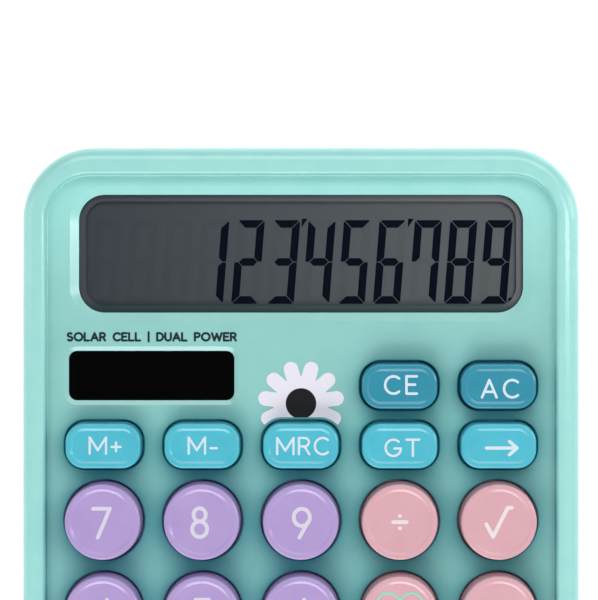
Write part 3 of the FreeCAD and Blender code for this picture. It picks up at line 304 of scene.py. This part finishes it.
def gloss_abs(name, colour, shade, roughness=0.2, ripple=0.035, painted_shade_colour=None):
    """Injection-moulded ABS: pigment mottle a few millimetres wide, and a faint ripple in the gloss."""
    material, tree, output, place = new_material(name)
    mottle = add_node(tree, "ShaderNodeTexNoise", {"Scale": 1 / (6 * MM), "Detail": 4.0}, {"Vector": place})
    spread = add_node(tree, "ShaderNodeMapRange", {"From Min": 0.3, "From Max": 0.7},
                      {0: mottle.outputs["Fac"]})
    pigment = add_node(tree, "ShaderNodeMix", {"data_type": "RGBA", 6: linear(colour), 7: linear(shade)},
                       {0: spread.outputs["Result"]})
    tint = pigment.outputs[2]
    # Given a shade colour, painted shade and painted light are laid into the tint.
    if painted_shade_colour:
        tint = painted_deck_shade(tree, place, tint, painted_shade_colour)
    wave = add_node(tree, "ShaderNodeTexNoise", {"Scale": 1 / (9 * MM), "Detail": 1.0}, {"Vector": place})
    bump = add_node(tree, "ShaderNodeBump", {"Strength": ripple, "Distance": 0.4 * MM},
                    {"Height": wave.outputs["Fac"]})
    wear = add_node(tree, "ShaderNodeTexNoise", {"Scale": 1 / (2 * MM), "Detail": 3.0}, {"Vector": place})
    gloss = add_node(tree, "ShaderNodeMapRange", {"To Min": roughness * 0.8, "To Max": roughness * 1.25},
                     {0: wear.outputs["Fac"]})
    shader = add_node(tree, "ShaderNodeBsdfPrincipled", {"IOR": ABS_IOR}, {
        "Base Color": tint, "Roughness": gloss.outputs["Result"], "Normal": bump.outputs["Normal"]})
    tree.links.new(shader.outputs["BSDF"], output.inputs["Surface"])
    return material


def dress(material, *names):
    """Give CAD nodes a material, in every slot they have."""
    for name in names:
        mesh = nodes[name].data
        if not mesh.materials:
            mesh.materials.append(material)
        for index in range(len(mesh.materials)):
            mesh.materials[index] = material


# The case's tint holds painted shade, turning towards #2c8c96 among the keys, and painted light towards the
# display end.
case_abs = gloss_abs("mint_gloss_abs_painted_shade", "#a1ddd7", "#9ad9d3", painted_shade_colour="#2c8c96")
dress(case_abs, "upper_shell", "lower_shell", "battery_door")

KEY_COLOURS = {
    "key_teal": gloss_abs("teal_gloss_abs", "#3892a9", "#338ca4"),
    "key_blue": gloss_abs("sky_gloss_abs", "#55bdd0", "#4fb7cb"),
    "key_lilac": gloss_abs("lilac_gloss_abs", "#b39dd0", "#ad97cc"),
    "key_pink": gloss_abs("pink_gloss_abs", "#dbabb4", "#d6a5ae"),
}
slots = {part["node"]: part["material_slot"] for part in frame["record"]["subparts"]}
keys = [name for name in nodes if name.startswith("key_")]
for name in keys:
    dress(KEY_COLOURS[slots[name]], name)
print("keys", len(keys))

# %% [markdown]
# ## Clear and smoked acrylic
# The two windows are cut from cast acrylic, IOR 1.49. A clear sheet lets most light straight through and
# adds only its own faint mirror, strongest at a low angle. Mixing a see-through shader with a mirror by
# Fresnel's law says exactly that, and it lets light down to the display without the noise of true
# refraction.


# %% Acrylic windows
ACRYLIC_IOR = 1.49
def acrylic(name, tint, roughness):
    material, tree, output, place = new_material(name)
    through = add_node(tree, "ShaderNodeBsdfTransparent", {"Color": linear(tint)})
    haze = add_node(tree, "ShaderNodeTexNoise", {"Scale": 1 / (12 * MM)}, {"Vector": place})
    polish = add_node(tree, "ShaderNodeMapRange", {"To Min": roughness * 0.6, "To Max": roughness * 1.4},
                      {0: haze.outputs["Fac"]})
    mirror = add_node(tree, "ShaderNodeBsdfGlossy", {"Color": linear("#ffffff")},
                      {"Roughness": polish.outputs["Result"]})
    fresnel = add_node(tree, "ShaderNodeFresnel", {"IOR": ACRYLIC_IOR})
    both = add_node(tree, "ShaderNodeMixShader", None, {
        0: fresnel.outputs["Fac"], 1: through.outputs["BSDF"], 2: mirror.outputs["BSDF"]})
    tree.links.new(both.outputs["Shader"], output.inputs["Surface"])
    return material


dress(acrylic("clear_cast_acrylic", "#f4f8f7", 0.06), "display_lens")
dress(acrylic("smoked_cast_acrylic", "#5a5a5e", 0.08), "solar_window")

# %% [markdown]
# ## The display's dark border
# The back of the lens is printed with a dark frame, which hides the seat that the lens is glued to. It is
# a ring with rounded corners, so one loop of corner arcs makes both its edges.


# %% Print the border
def rounded_outline(width, length, radius, steps=10):
    """Corner arcs of a rounded rectangle, from the right side, anticlockwise."""
    outline = []
    for quarter, (sx, sy) in enumerate(((1, 1), (-1, 1), (-1, -1), (1, -1))):
        cx, cy = sx * (width / 2 - radius), sy * (length / 2 - radius)
        for step in range(steps + 1):
            a = math.radians(90 * quarter + 90 * step / steps)
            outline.append((cx + radius * math.cos(a), cy + radius * math.sin(a)))
    return outline


LENS_CORNER, BORDER = 5.2, 1.25
lens_low, lens_high = deck_box("display_lens")
lens_middle = (lens_low + lens_high) / 2
lens_size = lens_high - lens_low


def border_ring(name, material):
    outer = rounded_outline(lens_size[0] - 0.04, lens_size[1] - 0.04, LENS_CORNER)
    inner = rounded_outline(lens_size[0] - 2 * BORDER, lens_size[1] - 2 * BORDER, LENS_CORNER - BORDER)
    count = len(outer)
    points = []
    for height in (0.05, 0.02):
        level = lens_low[2] + height
        points += [deck(lens_middle[0] + x, lens_middle[1] + y, level) for x, y in outer + inner]
    faces = []
    for i in range(count):
        j = (i + 1) % count
        a, b, c, d = i, j, count + j, count + i
        e, f, g, h = (k + 2 * count for k in (a, b, c, d))
        faces += [[a, b, c, d], [h, g, f, e], [a, e, f, b], [c, g, h, d]]
    mesh = bpy.data.meshes.new(name)
    mesh.from_pydata(points, [], faces)
    mesh.materials.append(material)
    piece = bpy.data.objects.new(name, mesh)
    bpy.context.scene.collection.objects.link(piece)
    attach(piece, "case")
    return piece


# %% [markdown]
# ## The liquid crystal and the solar cell
# A liquid crystal panel is two sheets of glass between polarisers, and reads as a grey film. Its colour
# also holds painted light: a painted green shade near the window's lower edge, where the case shades it,
# and a painted reflection that makes it lighter to the right. The solar cell is amorphous silicon on
# glass, nearly black, with scribed lines between its four strips.


# %% Polariser film and silicon
def polariser(name, left, right, edge, darken=1.0):
    """Grey film; a painted reflection lighter to the right, painted shade darker and greener at the lower
    edge.
    """
    material, tree, output, place = new_material(name)
    low, high = deck_box("display_lens")
    split = add_node(tree, "ShaderNodeSeparateXYZ", None, {0: place})
    across = add_node(tree, "ShaderNodeMapRange", {"From Min": low[0] * MM, "From Max": high[0] * MM},
                      {0: split.outputs["X"]})
    film = add_node(tree, "ShaderNodeMix", {"data_type": "RGBA", 6: linear(left), 7: linear(right)},
                    {0: across.outputs["Result"]})
    bottom = deck(0, low[1]).y
    shade = add_node(tree, "ShaderNodeMapRange",
                     {"From Min": bottom + 3.2 * MM, "From Max": bottom + 0.4 * MM}, {0: split.outputs["Y"]})
    green = add_node(tree, "ShaderNodeMix", {"data_type": "RGBA", 7: linear(edge)},
                     {0: shade.outputs["Result"], 6: film.outputs[2]})
    speck = add_node(tree, "ShaderNodeTexNoise", {"Scale": 1 / (0.5 * MM), "Detail": 2.0}, {"Vector": place})
    grain = add_node(tree, "ShaderNodeMapRange", {"To Min": 0.93 * darken, "To Max": 1.07 * darken},
                     {0: speck.outputs["Fac"]})
    toned = add_node(tree, "ShaderNodeVectorMath", {"operation": "SCALE"},
                     {0: green.outputs[2], "Scale": grain.outputs["Result"]})
    shader = add_node(tree, "ShaderNodeBsdfPrincipled", {"Roughness": 0.45, "IOR": 1.5},
                      {"Base Color": toned.outputs[0]})
    tree.links.new(shader.outputs["BSDF"], output.inputs["Surface"])
    return material


# A left grey, a lighter right grey that is a painted reflection, and a painted green shade for the window's
# lower edge.
FILM_GREYS_PAINTED_LIGHT = ("#797b88", "#aaa5ac", "#35605c")
film = polariser("grey_polariser_film_painted_light", *FILM_GREYS_PAINTED_LIGHT)
ghost_film = polariser("grey_polariser_unlit_painted_light", *FILM_GREYS_PAINTED_LIGHT, darken=0.93)
dress(film, "lcd_glass")
border_ring("display_border", film)


def silicon(name):
    """Amorphous silicon with scribed lines across it, one every quarter of the cell."""
    material, tree, output, place = new_material(name)
    low, high = deck_box("solar_cell")
    strip = (high[0] - low[0]) * MM / 4
    split = add_node(tree, "ShaderNodeSeparateXYZ", None, {0: place})
    count = add_node(tree, "ShaderNodeMath", {"operation": "DIVIDE", 1: strip}, {0: split.outputs["X"]})
    share = add_node(tree, "ShaderNodeMath", {"operation": "PINGPONG", 1: 0.5}, {0: count.outputs[0]})
    line = add_node(tree, "ShaderNodeMath", {"operation": "LESS_THAN", 1: 0.02}, {0: share.outputs[0]})
    colour = add_node(tree, "ShaderNodeMix",
                      {"data_type": "RGBA", 6: linear("#0c0a0d"), 7: linear("#2a2422")}, {0: line.outputs[0]})
    shader = add_node(tree, "ShaderNodeBsdfPrincipled", {"Roughness": 0.3, "IOR": 1.5},
                      {"Base Color": colour.outputs[2]})
    tree.links.new(shader.outputs["BSDF"], output.inputs["Surface"])
    return material


dress(silicon("amorphous_silicon"), "solar_cell")


# %% [markdown]
# ## Rubber, foam, steel, laminate and the rest
# These pieces sit inside or under the case. Each is still a real material: moulded rubber feet with a
# fine dull grain, zinc-plated steel screws, a green solder mask over the board's glass cloth.


# %% Grained plastics, rubbers and plated steel
def grained(name, colour, shade, grit, roughness, depth=0.2, ior=1.5, metal=0.0):
    """A surface with a grain of one size, in millimetres, in both its colour and its height."""
    material, tree, output, place = new_material(name)
    noise = add_node(tree, "ShaderNodeTexNoise", {"Scale": 1 / (grit * MM), "Detail": 3.0}, {"Vector": place})
    tint = add_node(tree, "ShaderNodeMix", {"data_type": "RGBA", 6: linear(colour), 7: linear(shade)},
                    {0: noise.outputs["Fac"]})
    rough = add_node(tree, "ShaderNodeMapRange", {"To Min": roughness * 0.85, "To Max": roughness * 1.15},
                     {0: noise.outputs["Fac"]})
    bump = add_node(tree, "ShaderNodeBump", {"Strength": depth, "Distance": grit * MM / 5},
                    {"Height": noise.outputs["Fac"]})
    shader = add_node(tree, "ShaderNodeBsdfPrincipled", {"IOR": ior, "Metallic": metal},
                      {"Base Color": tint.outputs[2], "Roughness": rough.outputs["Result"],
                       "Normal": bump.outputs["Normal"]})
    tree.links.new(shader.outputs["BSDF"], output.inputs["Surface"])
    return material


rubber_feet = grained("moulded_nitrile_rubber", "#2b2b2d", "#202022", 0.3, 0.75)
dress(rubber_feet, *[name for name in nodes if name.startswith("foot_")])
dress(grained("black_pu_foam", "#1b1b1d", "#121213", 0.25, 0.9, 0.6), "lcd_gasket", "solar_pad")
dress(grained("zinc_plated_steel", "#c9c9c6", "#b4b5b3", 0.4, 0.32, 0.1, 1.5, 1.0),
      "case_screws", "board_screws", "battery_contact", "battery_spring")
dress(grained("white_abs_tray", "#dfe2e2", "#d5d9da", 0.8, 0.5), "lcd_tray")
dress(grained("silicone_rubber", "#c4cacc", "#b9c0c3", 0.6, 0.6), "rubber_keypad")
dress(grained("green_solder_mask", "#0f5a34", "#0c4c2c", 0.5, 0.35), "circuit_board")
dress(grained("black_epoxy", "#141414", "#0c0c0c", 0.5, 0.4), "chip_blob")
dress(grained("component_lacquer", "#1c2748", "#152040", 0.4, 0.4), "board_components")
dress(grained("aluminised_film", "#a4a8a8", "#989c9d", 0.5, 0.4, 0.1, 1.5, 0.9), "lcd_reflector")
dress(grained("polyimide_film", "#b9752c", "#a86823", 0.5, 0.35), "lcd_ribbon")
dress(grained("pvc_jacket_dark", "#23272e", "#1b1f25", 0.5, 0.35), "battery_cell")
dress(grained("red_pvc_wire", "#b01c18", "#a01815", 0.3, 0.45),
      "battery_lead_positive", "solar_lead_positive")
dress(grained("black_pvc_wire", "#161616", "#101010", 0.3, 0.45),
      "battery_lead_negative", "solar_lead_negative")

# %% [markdown]
# ## Printed ink
# Pad-printed ink is a film a few hundredths of a millimetre thick that follows the surface under it. It
# could be painted with a texture, but a mesh keeps its edge sharp from any distance. Each mark is given
# as a distance: negative inside the ink, positive outside. Cutting a fine grid where that distance is
# zero gives one clean sheet for any mark, however its strokes cross, and each of its points is then laid
# on the surface below.


# %% Cut a sheet along the edge of a mark
def cut_sheet(distance, low, high, cell):
    """Points and faces of the region where distance(x, y) is negative, on a grid of the given cell."""
    xs = np.arange(low[0] - cell, high[0] + 2 * cell, cell)
    ys = np.arange(low[1] - cell, high[1] + 2 * cell, cell)
    field = distance(*np.meshgrid(xs, ys, indexing="ij"))
    points, index, faces = [], {}, []

    def corner(a):
        if a not in index:
            index[a] = len(points)
            points.append((xs[a[0]], ys[a[1]]))
        return index[a]

    def crossing(a, b):
        a, b = sorted((a, b))
        if (a, b) not in index:
            share = field[a] / (field[a] - field[b])
            index[a, b] = len(points)
            across = xs[a[0]] + share * (xs[b[0]] - xs[a[0]])
            along = ys[a[1]] + share * (ys[b[1]] - ys[a[1]])
            points.append((across, along))
        return index[a, b]

    inside = field < 0
    near = inside[:-1, :-1] | inside[1:, :-1] | inside[:-1, 1:] | inside[1:, 1:]
    for i, j in np.argwhere(near):
        ring = [(i, j), (i + 1, j), (i + 1, j + 1), (i, j + 1)]
        face = []
        for a, b in zip(ring, ring[1:] + ring[:1]):
            if inside[a]:
                face.append(corner(a))
            if inside[a] != inside[b]:
                face.append(crossing(a, b))
        if len(face) > 2:
            faces.append(face)
    return points, faces


def strokes_distance(strokes, half_width):
    """Distance to a pen of round nib drawn along polylines."""
    def distance(x, y):
        nearest = np.full(x.shape, 1e9)
        for stroke in strokes:
            for (ax, ay), (bx, by) in zip(stroke, stroke[1:] or stroke):
                dx, dy = bx - ax, by - ay
                share = np.clip(((x - ax) * dx + (y - ay) * dy) / max(dx * dx + dy * dy, 1e-12), 0, 1)
                nearest = np.minimum(nearest, np.hypot(x - ax - share * dx, y - ay - share * dy))
        return nearest - half_width
    return distance


# %% Lay a cut sheet on a surface as ink
INK_THICKNESS = 0.03


def print_ink(name, distance, low, high, centre, on_node, body, material, cell=0.12, sink=0.0):
    """Print a mark round a centre of the deck's frame, on the upper surface of a CAD node."""
    flat, faces = cut_sheet(distance, low, high, cell)
    mesh = bpy.data.meshes.new(name)
    places = []
    for x, y in flat:
        px, py = centre[0] + x, centre[1] + y
        places.append(deck(px, py, surface(on_node, px, py) + INK_THICKNESS - sink))
    mesh.from_pydata(places, [], faces)
    mesh.update()
    mesh.materials.append(material)
    for face in mesh.polygons:
        face.use_smooth = True
    piece = bpy.data.objects.new(name, mesh)
    bpy.context.scene.collection.objects.link(piece)
    thick = piece.modifiers.new("film", "SOLIDIFY")
    thick.thickness = INK_THICKNESS * 0.8 * MM
    thick.offset = -1.0
    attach(piece, body)
    return piece


def ink(name, colour, shade, roughness=0.35):
    """Pad-printing ink: a satin film, a little uneven where the pad let go."""
    return grained(name, colour, shade, 0.7, roughness, 0.08)


white_ink = ink("white_pad_ink", "#e9e6ef", "#e0dde8")
cool_ink = ink("cool_white_pad_ink", "#d5e4f0", "#cddeec")
lilac_ink = ink("lilac_white_pad_ink", "#d9d4e4", "#d2cdde")
rose_ink = ink("rose_white_pad_ink", "#eadfe2", "#e4d7da")
KEY_INKS = {"key_teal": cool_ink, "key_blue": cool_ink, "key_lilac": lilac_ink, "key_pink": rose_ink}
dark_ink = ink("dark_pad_ink", "#1d2b2b", "#172323")
black_ink = ink("black_pad_ink", "#101216", "#0b0d10")
mint_ink = ink("mint_pad_ink", "#93dcc2", "#8bd6bb")

# %% [markdown]
# ## The lettering
# The legends are a thin round-ended line of one width, so each letter is only a few lines and arcs along
# the middle of the pen. They are drawn here in units of the letter's height, from 0 on the base line to
# 1.


# %% Draw letters with a pen
def arc(cx, cy, rx, ry, start, end, steps=20):
    """Points on an elliptical arc between two angles in degrees."""
    angles = [math.radians(start + (end - start) * i / steps) for i in range(steps + 1)]
    return [(cx + rx * math.cos(a), cy + ry * math.sin(a)) for a in angles]


LETTERS = {
    "0": [arc(0.32, 0.5, 0.32, 0.5, 0, 360, 32)],
    "1": [[(0.02, 0.8), (0.3, 1), (0.3, 0)]],
    "2": [arc(0.3, 0.7, 0.3, 0.3, 165, -38) + [(0, 0), (0.62, 0)]],
    "3": [arc(0.28, 0.75, 0.26, 0.25, 150, -90), arc(0.28, 0.25, 0.3, 0.25, 90, -150)],
    "4": [[(0.5, 0), (0.5, 1), (0, 0.27), (0.68, 0.27)]],
    "5": [[(0.56, 1), (0.1, 1), (0.05, 0.55)] + arc(0.29, 0.32, 0.32, 0.32, 125, -145)],
    "6": [arc(0.28, 0.3, 0.28, 0.3, 0, 360, 28), [(0.4, 1), (0.05, 0.44)]],
    "7": [[(0, 1), (0.58, 1), (0.16, 0)]],
    "8": [arc(0.26, 0.77, 0.21, 0.23, 0, 360, 28), arc(0.26, 0.27, 0.26, 0.27, 0, 360, 28)],
    "9": [arc(0.28, 0.7, 0.28, 0.3, 0, 360, 28), [(0.51, 0.56), (0.2, 0)]],
    "A": [[(0, 0), (0.42, 1), (0.84, 0)], [(0.14, 0.32), (0.7, 0.32)]],
    "C": [arc(0.48, 0.5, 0.48, 0.5, 48, 312, 28)],
    "D": [[(0, 0), (0, 1), (0.28, 1)] + arc(0.28, 0.5, 0.48, 0.5, 90, -90) + [(0, 0)]],
    "E": [[(0.6, 1), (0, 1), (0, 0), (0.6, 0)], [(0, 0.52), (0.5, 0.52)]],
    "G": [arc(0.48, 0.5, 0.48, 0.5, 48, 335, 28) + [(0.94, 0.46), (0.54, 0.46)]],
    "I": [[(0.02, 0), (0.02, 1)]],
    "L": [[(0, 1), (0, 0), (0.56, 0)]],
    "M": [[(0, 0), (0, 1), (0.5, 0.22), (1, 1), (1, 0)]],
    "O": [arc(0.5, 0.5, 0.5, 0.5, 0, 360, 32)],
    "P": [[(0, 0), (0, 1), (0.34, 1)] + arc(0.34, 0.74, 0.27, 0.26, 90, -90) + [(0, 0.48)]],
    "R": [[(0, 0), (0, 1), (0.34, 1)] + arc(0.34, 0.74, 0.27, 0.26, 90, -90) + [(0, 0.48)],
          [(0.34, 0.48), (0.64, 0)]],
    "S": [arc(0.3, 0.76, 0.27, 0.24, 40, 260, 16) + arc(0.3, 0.26, 0.3, 0.26, 80, -140, 16)],
    "T": [[(0, 1), (0.8, 1)], [(0.4, 1), (0.4, 0)]],
    "U": [[(0, 1), (0, 0.36)] + arc(0.36, 0.36, 0.36, 0.36, 180, 360) + [(0.72, 1)]],
    "W": [[(0, 1), (0.3, 0), (0.62, 0.92), (0.94, 0), (1.24, 1)]],
    "|": [[(0, -0.12), (0, 1.12)]],
    "+": [[(0, 0.42), (0.56, 0.42)], [(0.28, 0.14), (0.28, 0.7)]],
    "-": [[(0, 0.34), (0.4, 0.34)]],
    " ": [],
}
SPACE = 0.5


def write_line(text, height, gap):
    """Strokes of a line of letters of the given height and spacing, centred on its own middle."""
    strokes, pen = [], 0.0
    for letter in text:
        shapes = LETTERS[letter]
        strokes += [[(pen + x * height, y * height) for x, y in shape] for shape in shapes]
        wide = max((x for shape in shapes for x, y in shape), default=SPACE) * height
        pen += wide + gap
    reach = (pen - gap) / 2
    return [[(x - reach, y - height / 2) for x, y in shape] for shape in strokes]


def limits(strokes, margin):
    points = np.array([point for stroke in strokes for point in stroke])
    return points.min(0) - margin, points.max(0) + margin


# %% [markdown]
# ## Legends on the keys
# Every legend is white, except the outlined heart on the multiplying key. The digits are larger and
# bolder than the words. A legend rides on its key, so that it goes down with it.
#
# NUDGES moves some legends a fraction of a millimetre from their key's middle. The amounts are fitted.
# Whether the real print is off centre or it only looks so from where one stands isn't known.

# %% Print the key legends
DIGIT_HEIGHT, DIGIT_PEN = 5.8, 0.8
WORD_HEIGHT, WORD_PEN = 3.3, 0.47
CLEAR_HEIGHT, CLEAR_PEN = 3.5, 0.52
SIGN_PEN = 0.8


def dot(x, y):
    return [(x, y), (x, y)]


def heart(size):
    """The usual outline of a heart, from its sine and cosine formula, size millimetres wide."""
    turns = [2 * math.pi * i / 60 for i in range(61)]
    unit = size / 32
    return [(16 * math.sin(a) ** 3 * unit,
             (13 * math.cos(a) - 5 * math.cos(2 * a) - 2 * math.cos(3 * a) - math.cos(4 * a) + 2.5) * unit)
            for a in turns]


SIGNS = {
    "key_divide": [[(-1.35, 0), (1.35, 0)], dot(0, 1.25), dot(0, -1.25)],
    "key_root": [[(-2.55, -0.45), (-1.2, -2.95), (1.75, 2.9), (2.55, 2.9)]],
    "key_percent": [[(-1.7, -2.3), (1.7, 2.3)],
                    arc(-1.6, 1.5, 0.8, 0.8, 0, 360), arc(1.6, -1.5, 0.8, 0.8, 0, 360)],
    "key_minus": [[(-1.6, 0), (1.6, 0)]],
    "key_plus": [[(-1.7, 0), (1.7, 0)], [(0, -1.7), (0, 1.7)]],
    "key_equals": [[(-1.7, 0.85), (1.7, 0.85)], [(-1.7, -0.85), (1.7, -0.85)]],
    "key_sign": [[(-1.4, 0.7), (1.4, 0.7)], [(0, -0.7), (0, 2.1)], [(-1.4, -2.1), (1.4, -2.1)]],
    "key_point": [dot(0, -1.2)],
    "key_backspace": [[(-3.1, 0), (3.1, 0)], [(1.55, 1.35), (3.1, 0), (1.55, -1.35)]],
    "key_multiply": [[(-1.0, -1.0), (1.0, 1.0)], [(-1.0, 1.0), (1.0, -1.0)]],
}
WORDS = {"key_clear_entry": "CE", "key_all_clear": "AC", "key_memory_plus": "M+", "key_memory_minus": "M-",
         "key_memory_recall": "MRC", "key_grand_total": "GT"}
NUDGES = {"key_clear_entry": (0.25, 0.3), "key_all_clear": (0.25, -0.45), "key_memory_recall": (0.35, 0.0),
          "key_grand_total": (0.55, -0.35), "key_backspace": (0.6, -0.4), "key_memory_plus": (0.45, 0.1),
          "key_memory_minus": (0.2, 0.1), "key_7": (-0.2, -0.2), "key_8": (-0.4, -0.1), "key_9": (0.2, -0.2)}
LETTER_GAP, CLEAR_GAP = 1.1, 1.5
for name in keys:
    if name in SIGNS:
        marks, pen = SIGNS[name], SIGN_PEN * (0.85 if name == "key_backspace" else 1.0)
    elif name in WORDS:
        marks, pen = write_line(WORDS[name], WORD_HEIGHT, LETTER_GAP), WORD_PEN
        if WORDS[name] in ("CE", "AC"):
            marks, pen = write_line(WORDS[name], CLEAR_HEIGHT, CLEAR_GAP), CLEAR_PEN
    else:
        marks, pen = write_line(name.removeprefix("key_"), DIGIT_HEIGHT, 1.5), DIGIT_PEN
    middle = deck_centre(name)
    nudge = NUDGES.get(name, (0.0, 0.0))
    print_ink("legend_" + name.removeprefix("key_"), strokes_distance(marks, pen / 2), *limits(marks, pen),
              (middle[0] + nudge[0], middle[1] + nudge[1]), name, name, KEY_INKS[slots[name]])
HEART_PEN = 0.47
outline = [heart(9.4)]
print_ink("legend_heart", strokes_distance(outline, HEART_PEN / 2), *limits(outline, HEART_PEN),
          deck_centre("key_multiply"), "key_multiply", "key_multiply", mint_ink)
print("legends", len(keys) + 1)

# %% [markdown]
# ## Prints on the deck
# A line of small dark capitals over the solar window says what powers the calculator. Behind the middle
# memory key a daisy looks out, white petals about a dark eye. Its print stops just short of the key's
# hole.

# %% Print the line of small capitals
solar_low, solar_high = deck_box("solar_window")
caption = write_line("SOLAR CELL | DUAL POWER", 1.5, 0.45)
CAPTION_PEN = 0.42
caption_width = limits(caption, 0)[1][0] * 2
CAPTION_REACH = 34.2
caption = [[(x * CAPTION_REACH / caption_width, y) for x, y in stroke] for stroke in caption]
caption_centre = (solar_low[0] - 0.3 + CAPTION_REACH / 2, solar_high[1] + 2.95)
print_ink("caption_line", strokes_distance(caption, CAPTION_PEN / 2), *limits(caption, CAPTION_PEN),
          caption_centre, "upper_shell", "case", dark_ink, cell=0.07)

# %% Print the daisy
KEY_HOLE, KEY_HOLE_CORNER, HOLE_MARGIN = (16.2, 10.1), 4.3, 0.55
PETALS, PETAL_FROM, PETAL_TO, PETAL_HALF = 11, 3.0, 7.3, 1.5
DISC_RADIUS = 3.1
FLOWER_RISE = 8.4
recall = deck_centre("key_memory_recall")


def outside_key(x, y):
    """Distance into the key's hole, from a point measured from the flower's middle."""
    across = np.abs(x) - KEY_HOLE[0] / 2 + KEY_HOLE_CORNER
    along = np.abs(y + FLOWER_RISE) - KEY_HOLE[1] / 2 + KEY_HOLE_CORNER
    corner = np.hypot(np.maximum(across, 0), np.maximum(along, 0))
    return HOLE_MARGIN - (corner + np.minimum(np.maximum(across, along), 0) - KEY_HOLE_CORNER)


def flower(x, y):
    turns = [2 * math.pi * (i + 0.25) / PETALS for i in range(PETALS)]
    petals = [[(PETAL_FROM * math.cos(a), PETAL_FROM * math.sin(a)),
               (PETAL_TO * math.cos(a), PETAL_TO * math.sin(a))] for a in turns]
    return np.maximum(strokes_distance(petals, PETAL_HALF)(x, y), outside_key(x, y))


def flower_eye(x, y):
    return np.maximum(np.hypot(x, y) - DISC_RADIUS, outside_key(x, y))


reach = PETAL_TO + PETAL_HALF
flower_middle = (recall[0], recall[1] + FLOWER_RISE)
print_ink("daisy_petals", flower, (-reach, -reach), (reach, reach), flower_middle, "upper_shell", "case",
          white_ink, cell=0.15)
print_ink("daisy_eye", flower_eye, (-DISC_RADIUS, -DISC_RADIUS), (DISC_RADIUS, DISC_RADIUS), flower_middle,
          "upper_shell", "case", black_ink, cell=0.12, sink=-INK_THICKNESS)
print("daisy top", round(flower_middle[1] + reach, 1))

# %% [markdown]
# ## What the display shows
# Each digit is seven bars with mitred ends, leaning a few degrees to the right, with hairline gaps
# between the bars. The driven bars are near-black blue, and the others show very faintly, as they do when
# a panel is seen square on. Small wedges between the digits mark the thousands.

# %% Bars of one digit
DIGITS = 12
DIGIT_PITCH, BAR, GAP = 7.24, 1.72, 0.16
DIGIT_WIDE, DIGIT_TALL = 5.7, 17.25
LEAN = math.tan(math.radians(4.5))
LAST_DIGIT_X = 36.3
DIGIT_BOTTOM = -0.1
CHAMFER = 0.5


def bars():
    """Outlines of the seven bars, by name, from the digit's lower left corner."""
    wide, tall, bar, cut = DIGIT_WIDE, DIGIT_TALL, BAR, CHAMFER
    mid = tall / 2
    top = [(cut / 2, tall - cut / 2), (bar, tall - bar), (wide - bar, tall - bar),
           (wide - cut / 2, tall - cut / 2), (wide - cut, tall), (cut, tall)]
    upper_right = [(wide - bar, tall - bar), (wide - bar, mid + bar / 2), (wide - bar / 2, mid), (wide, mid),
                   (wide, tall - cut), (wide - cut / 2, tall - cut / 2)]
    middle = [(bar / 2, mid), (bar, mid - bar / 2), (wide - bar, mid - bar / 2), (wide - bar / 2, mid),
              (wide - bar, mid + bar / 2), (bar, mid + bar / 2)]

    def across(shape):
        return [(wide - x, y) for x, y in reversed(shape)]

    def over(shape):
        return [(x, tall - y) for x, y in reversed(shape)]

    return {"a": top, "b": upper_right, "c": over(upper_right), "d": over(top),
            "e": across(over(upper_right)), "f": across(upper_right), "g": middle}


DRIVEN = {" ": "", "1": "bc", "2": "abged", "3": "abgcd", "4": "fgbc", "5": "afgcd", "6": "afgecd",
          "7": "abcf", "8": "abcdefg", "9": "abcdfg"}


def inset(outline, amount):
    """Move every side of a convex outline inwards."""
    lines = []
    for (ax, ay), (bx, by) in zip(outline, outline[1:] + outline[:1]):
        long = math.hypot(bx - ax, by - ay)
        nx, ny = -(by - ay) / long, (bx - ax) / long
        lines.append((nx, ny, nx * ax + ny * ay + amount))
    corners = []
    for (a, b, c), (d, e, f) in zip([lines[-1]] + lines[:-1], lines):
        det = a * e - b * d
        corners.append(((c * e - b * f) / det, (a * f - c * d) / det))
    return corners


# %% Draw the number
def leaning(outline, x, y):
    return [(x + px + py * LEAN, y + py) for px, py in outline]


def flat_pieces(name, outlines, material, height, thickness=0.04):
    """Flat closed prisms just over the display glass, as one piece."""
    mesh = bpy.data.meshes.new(name)
    points, faces = [], []
    for outline in outlines:
        first, count = len(points), len(outline)
        for level in (height, height - thickness):
            points += [deck(x, y, level) for x, y in outline]
        faces.append(list(range(first, first + count)))
        faces.append(list(range(first + 2 * count - 1, first + count - 1, -1)))
        for i in range(count):
            j = (i + 1) % count
            faces.append([first + i, first + count + i, first + count + j, first + j])
    mesh.from_pydata(points, [], faces)
    mesh.materials.append(material)
    piece = bpy.data.objects.new(name, mesh)
    bpy.context.scene.collection.objects.link(piece)
    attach(piece, "case")
    return piece


GLASS_TOP = deck_box("lcd_glass")[1][2]
display_y = deck_centre("display_lens")[1] + DIGIT_BOTTOM - DIGIT_TALL / 2 - 1.6
crystal = grained("driven_liquid_crystal", "#0a1636", "#07102c", 0.5, 0.8, 0.05, ior=1.1)
lit, unlit, shape = [], [], bars()
for place, digit in enumerate("   123456789"):
    x = LAST_DIGIT_X - (DIGITS - 1 - place) * DIGIT_PITCH
    for bar_name, outline in shape.items():
        drawn = leaning(inset(outline, GAP / 2), x, display_y)
        (lit if bar_name in DRIVEN[digit] else unlit).append(drawn)
for place in (5, 8):
    x = LAST_DIGIT_X - (DIGITS - 1 - place) * DIGIT_PITCH + DIGIT_WIDE + 0.2
    wedge = [(0.1, DIGIT_TALL - 1.6), (1.15, DIGIT_TALL + 0.2), (0.0, DIGIT_TALL + 0.2)]
    lit.append(leaning(wedge, x, display_y))
point_x = LAST_DIGIT_X + DIGIT_WIDE + 0.25
lit.append(leaning([(0, 0), (0.8, 0), (0.8, 1.3), (0, 1.3)], point_x, display_y))
flat_pieces("display_digits", lit, crystal, GLASS_TOP + 0.06)
flat_pieces("display_unlit_bars", unlit, ghost_film, GLASS_TOP + 0.05, 0.03)
print("bars lit", len(lit), "unlit", len(unlit))

# %% Check the size and finish
visual_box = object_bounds()
growth = (visual_box[1] - visual_box[0]) - (cad_box[1] - cad_box[0])
print("grows by mm", [round(v / MM, 3) for v in growth])
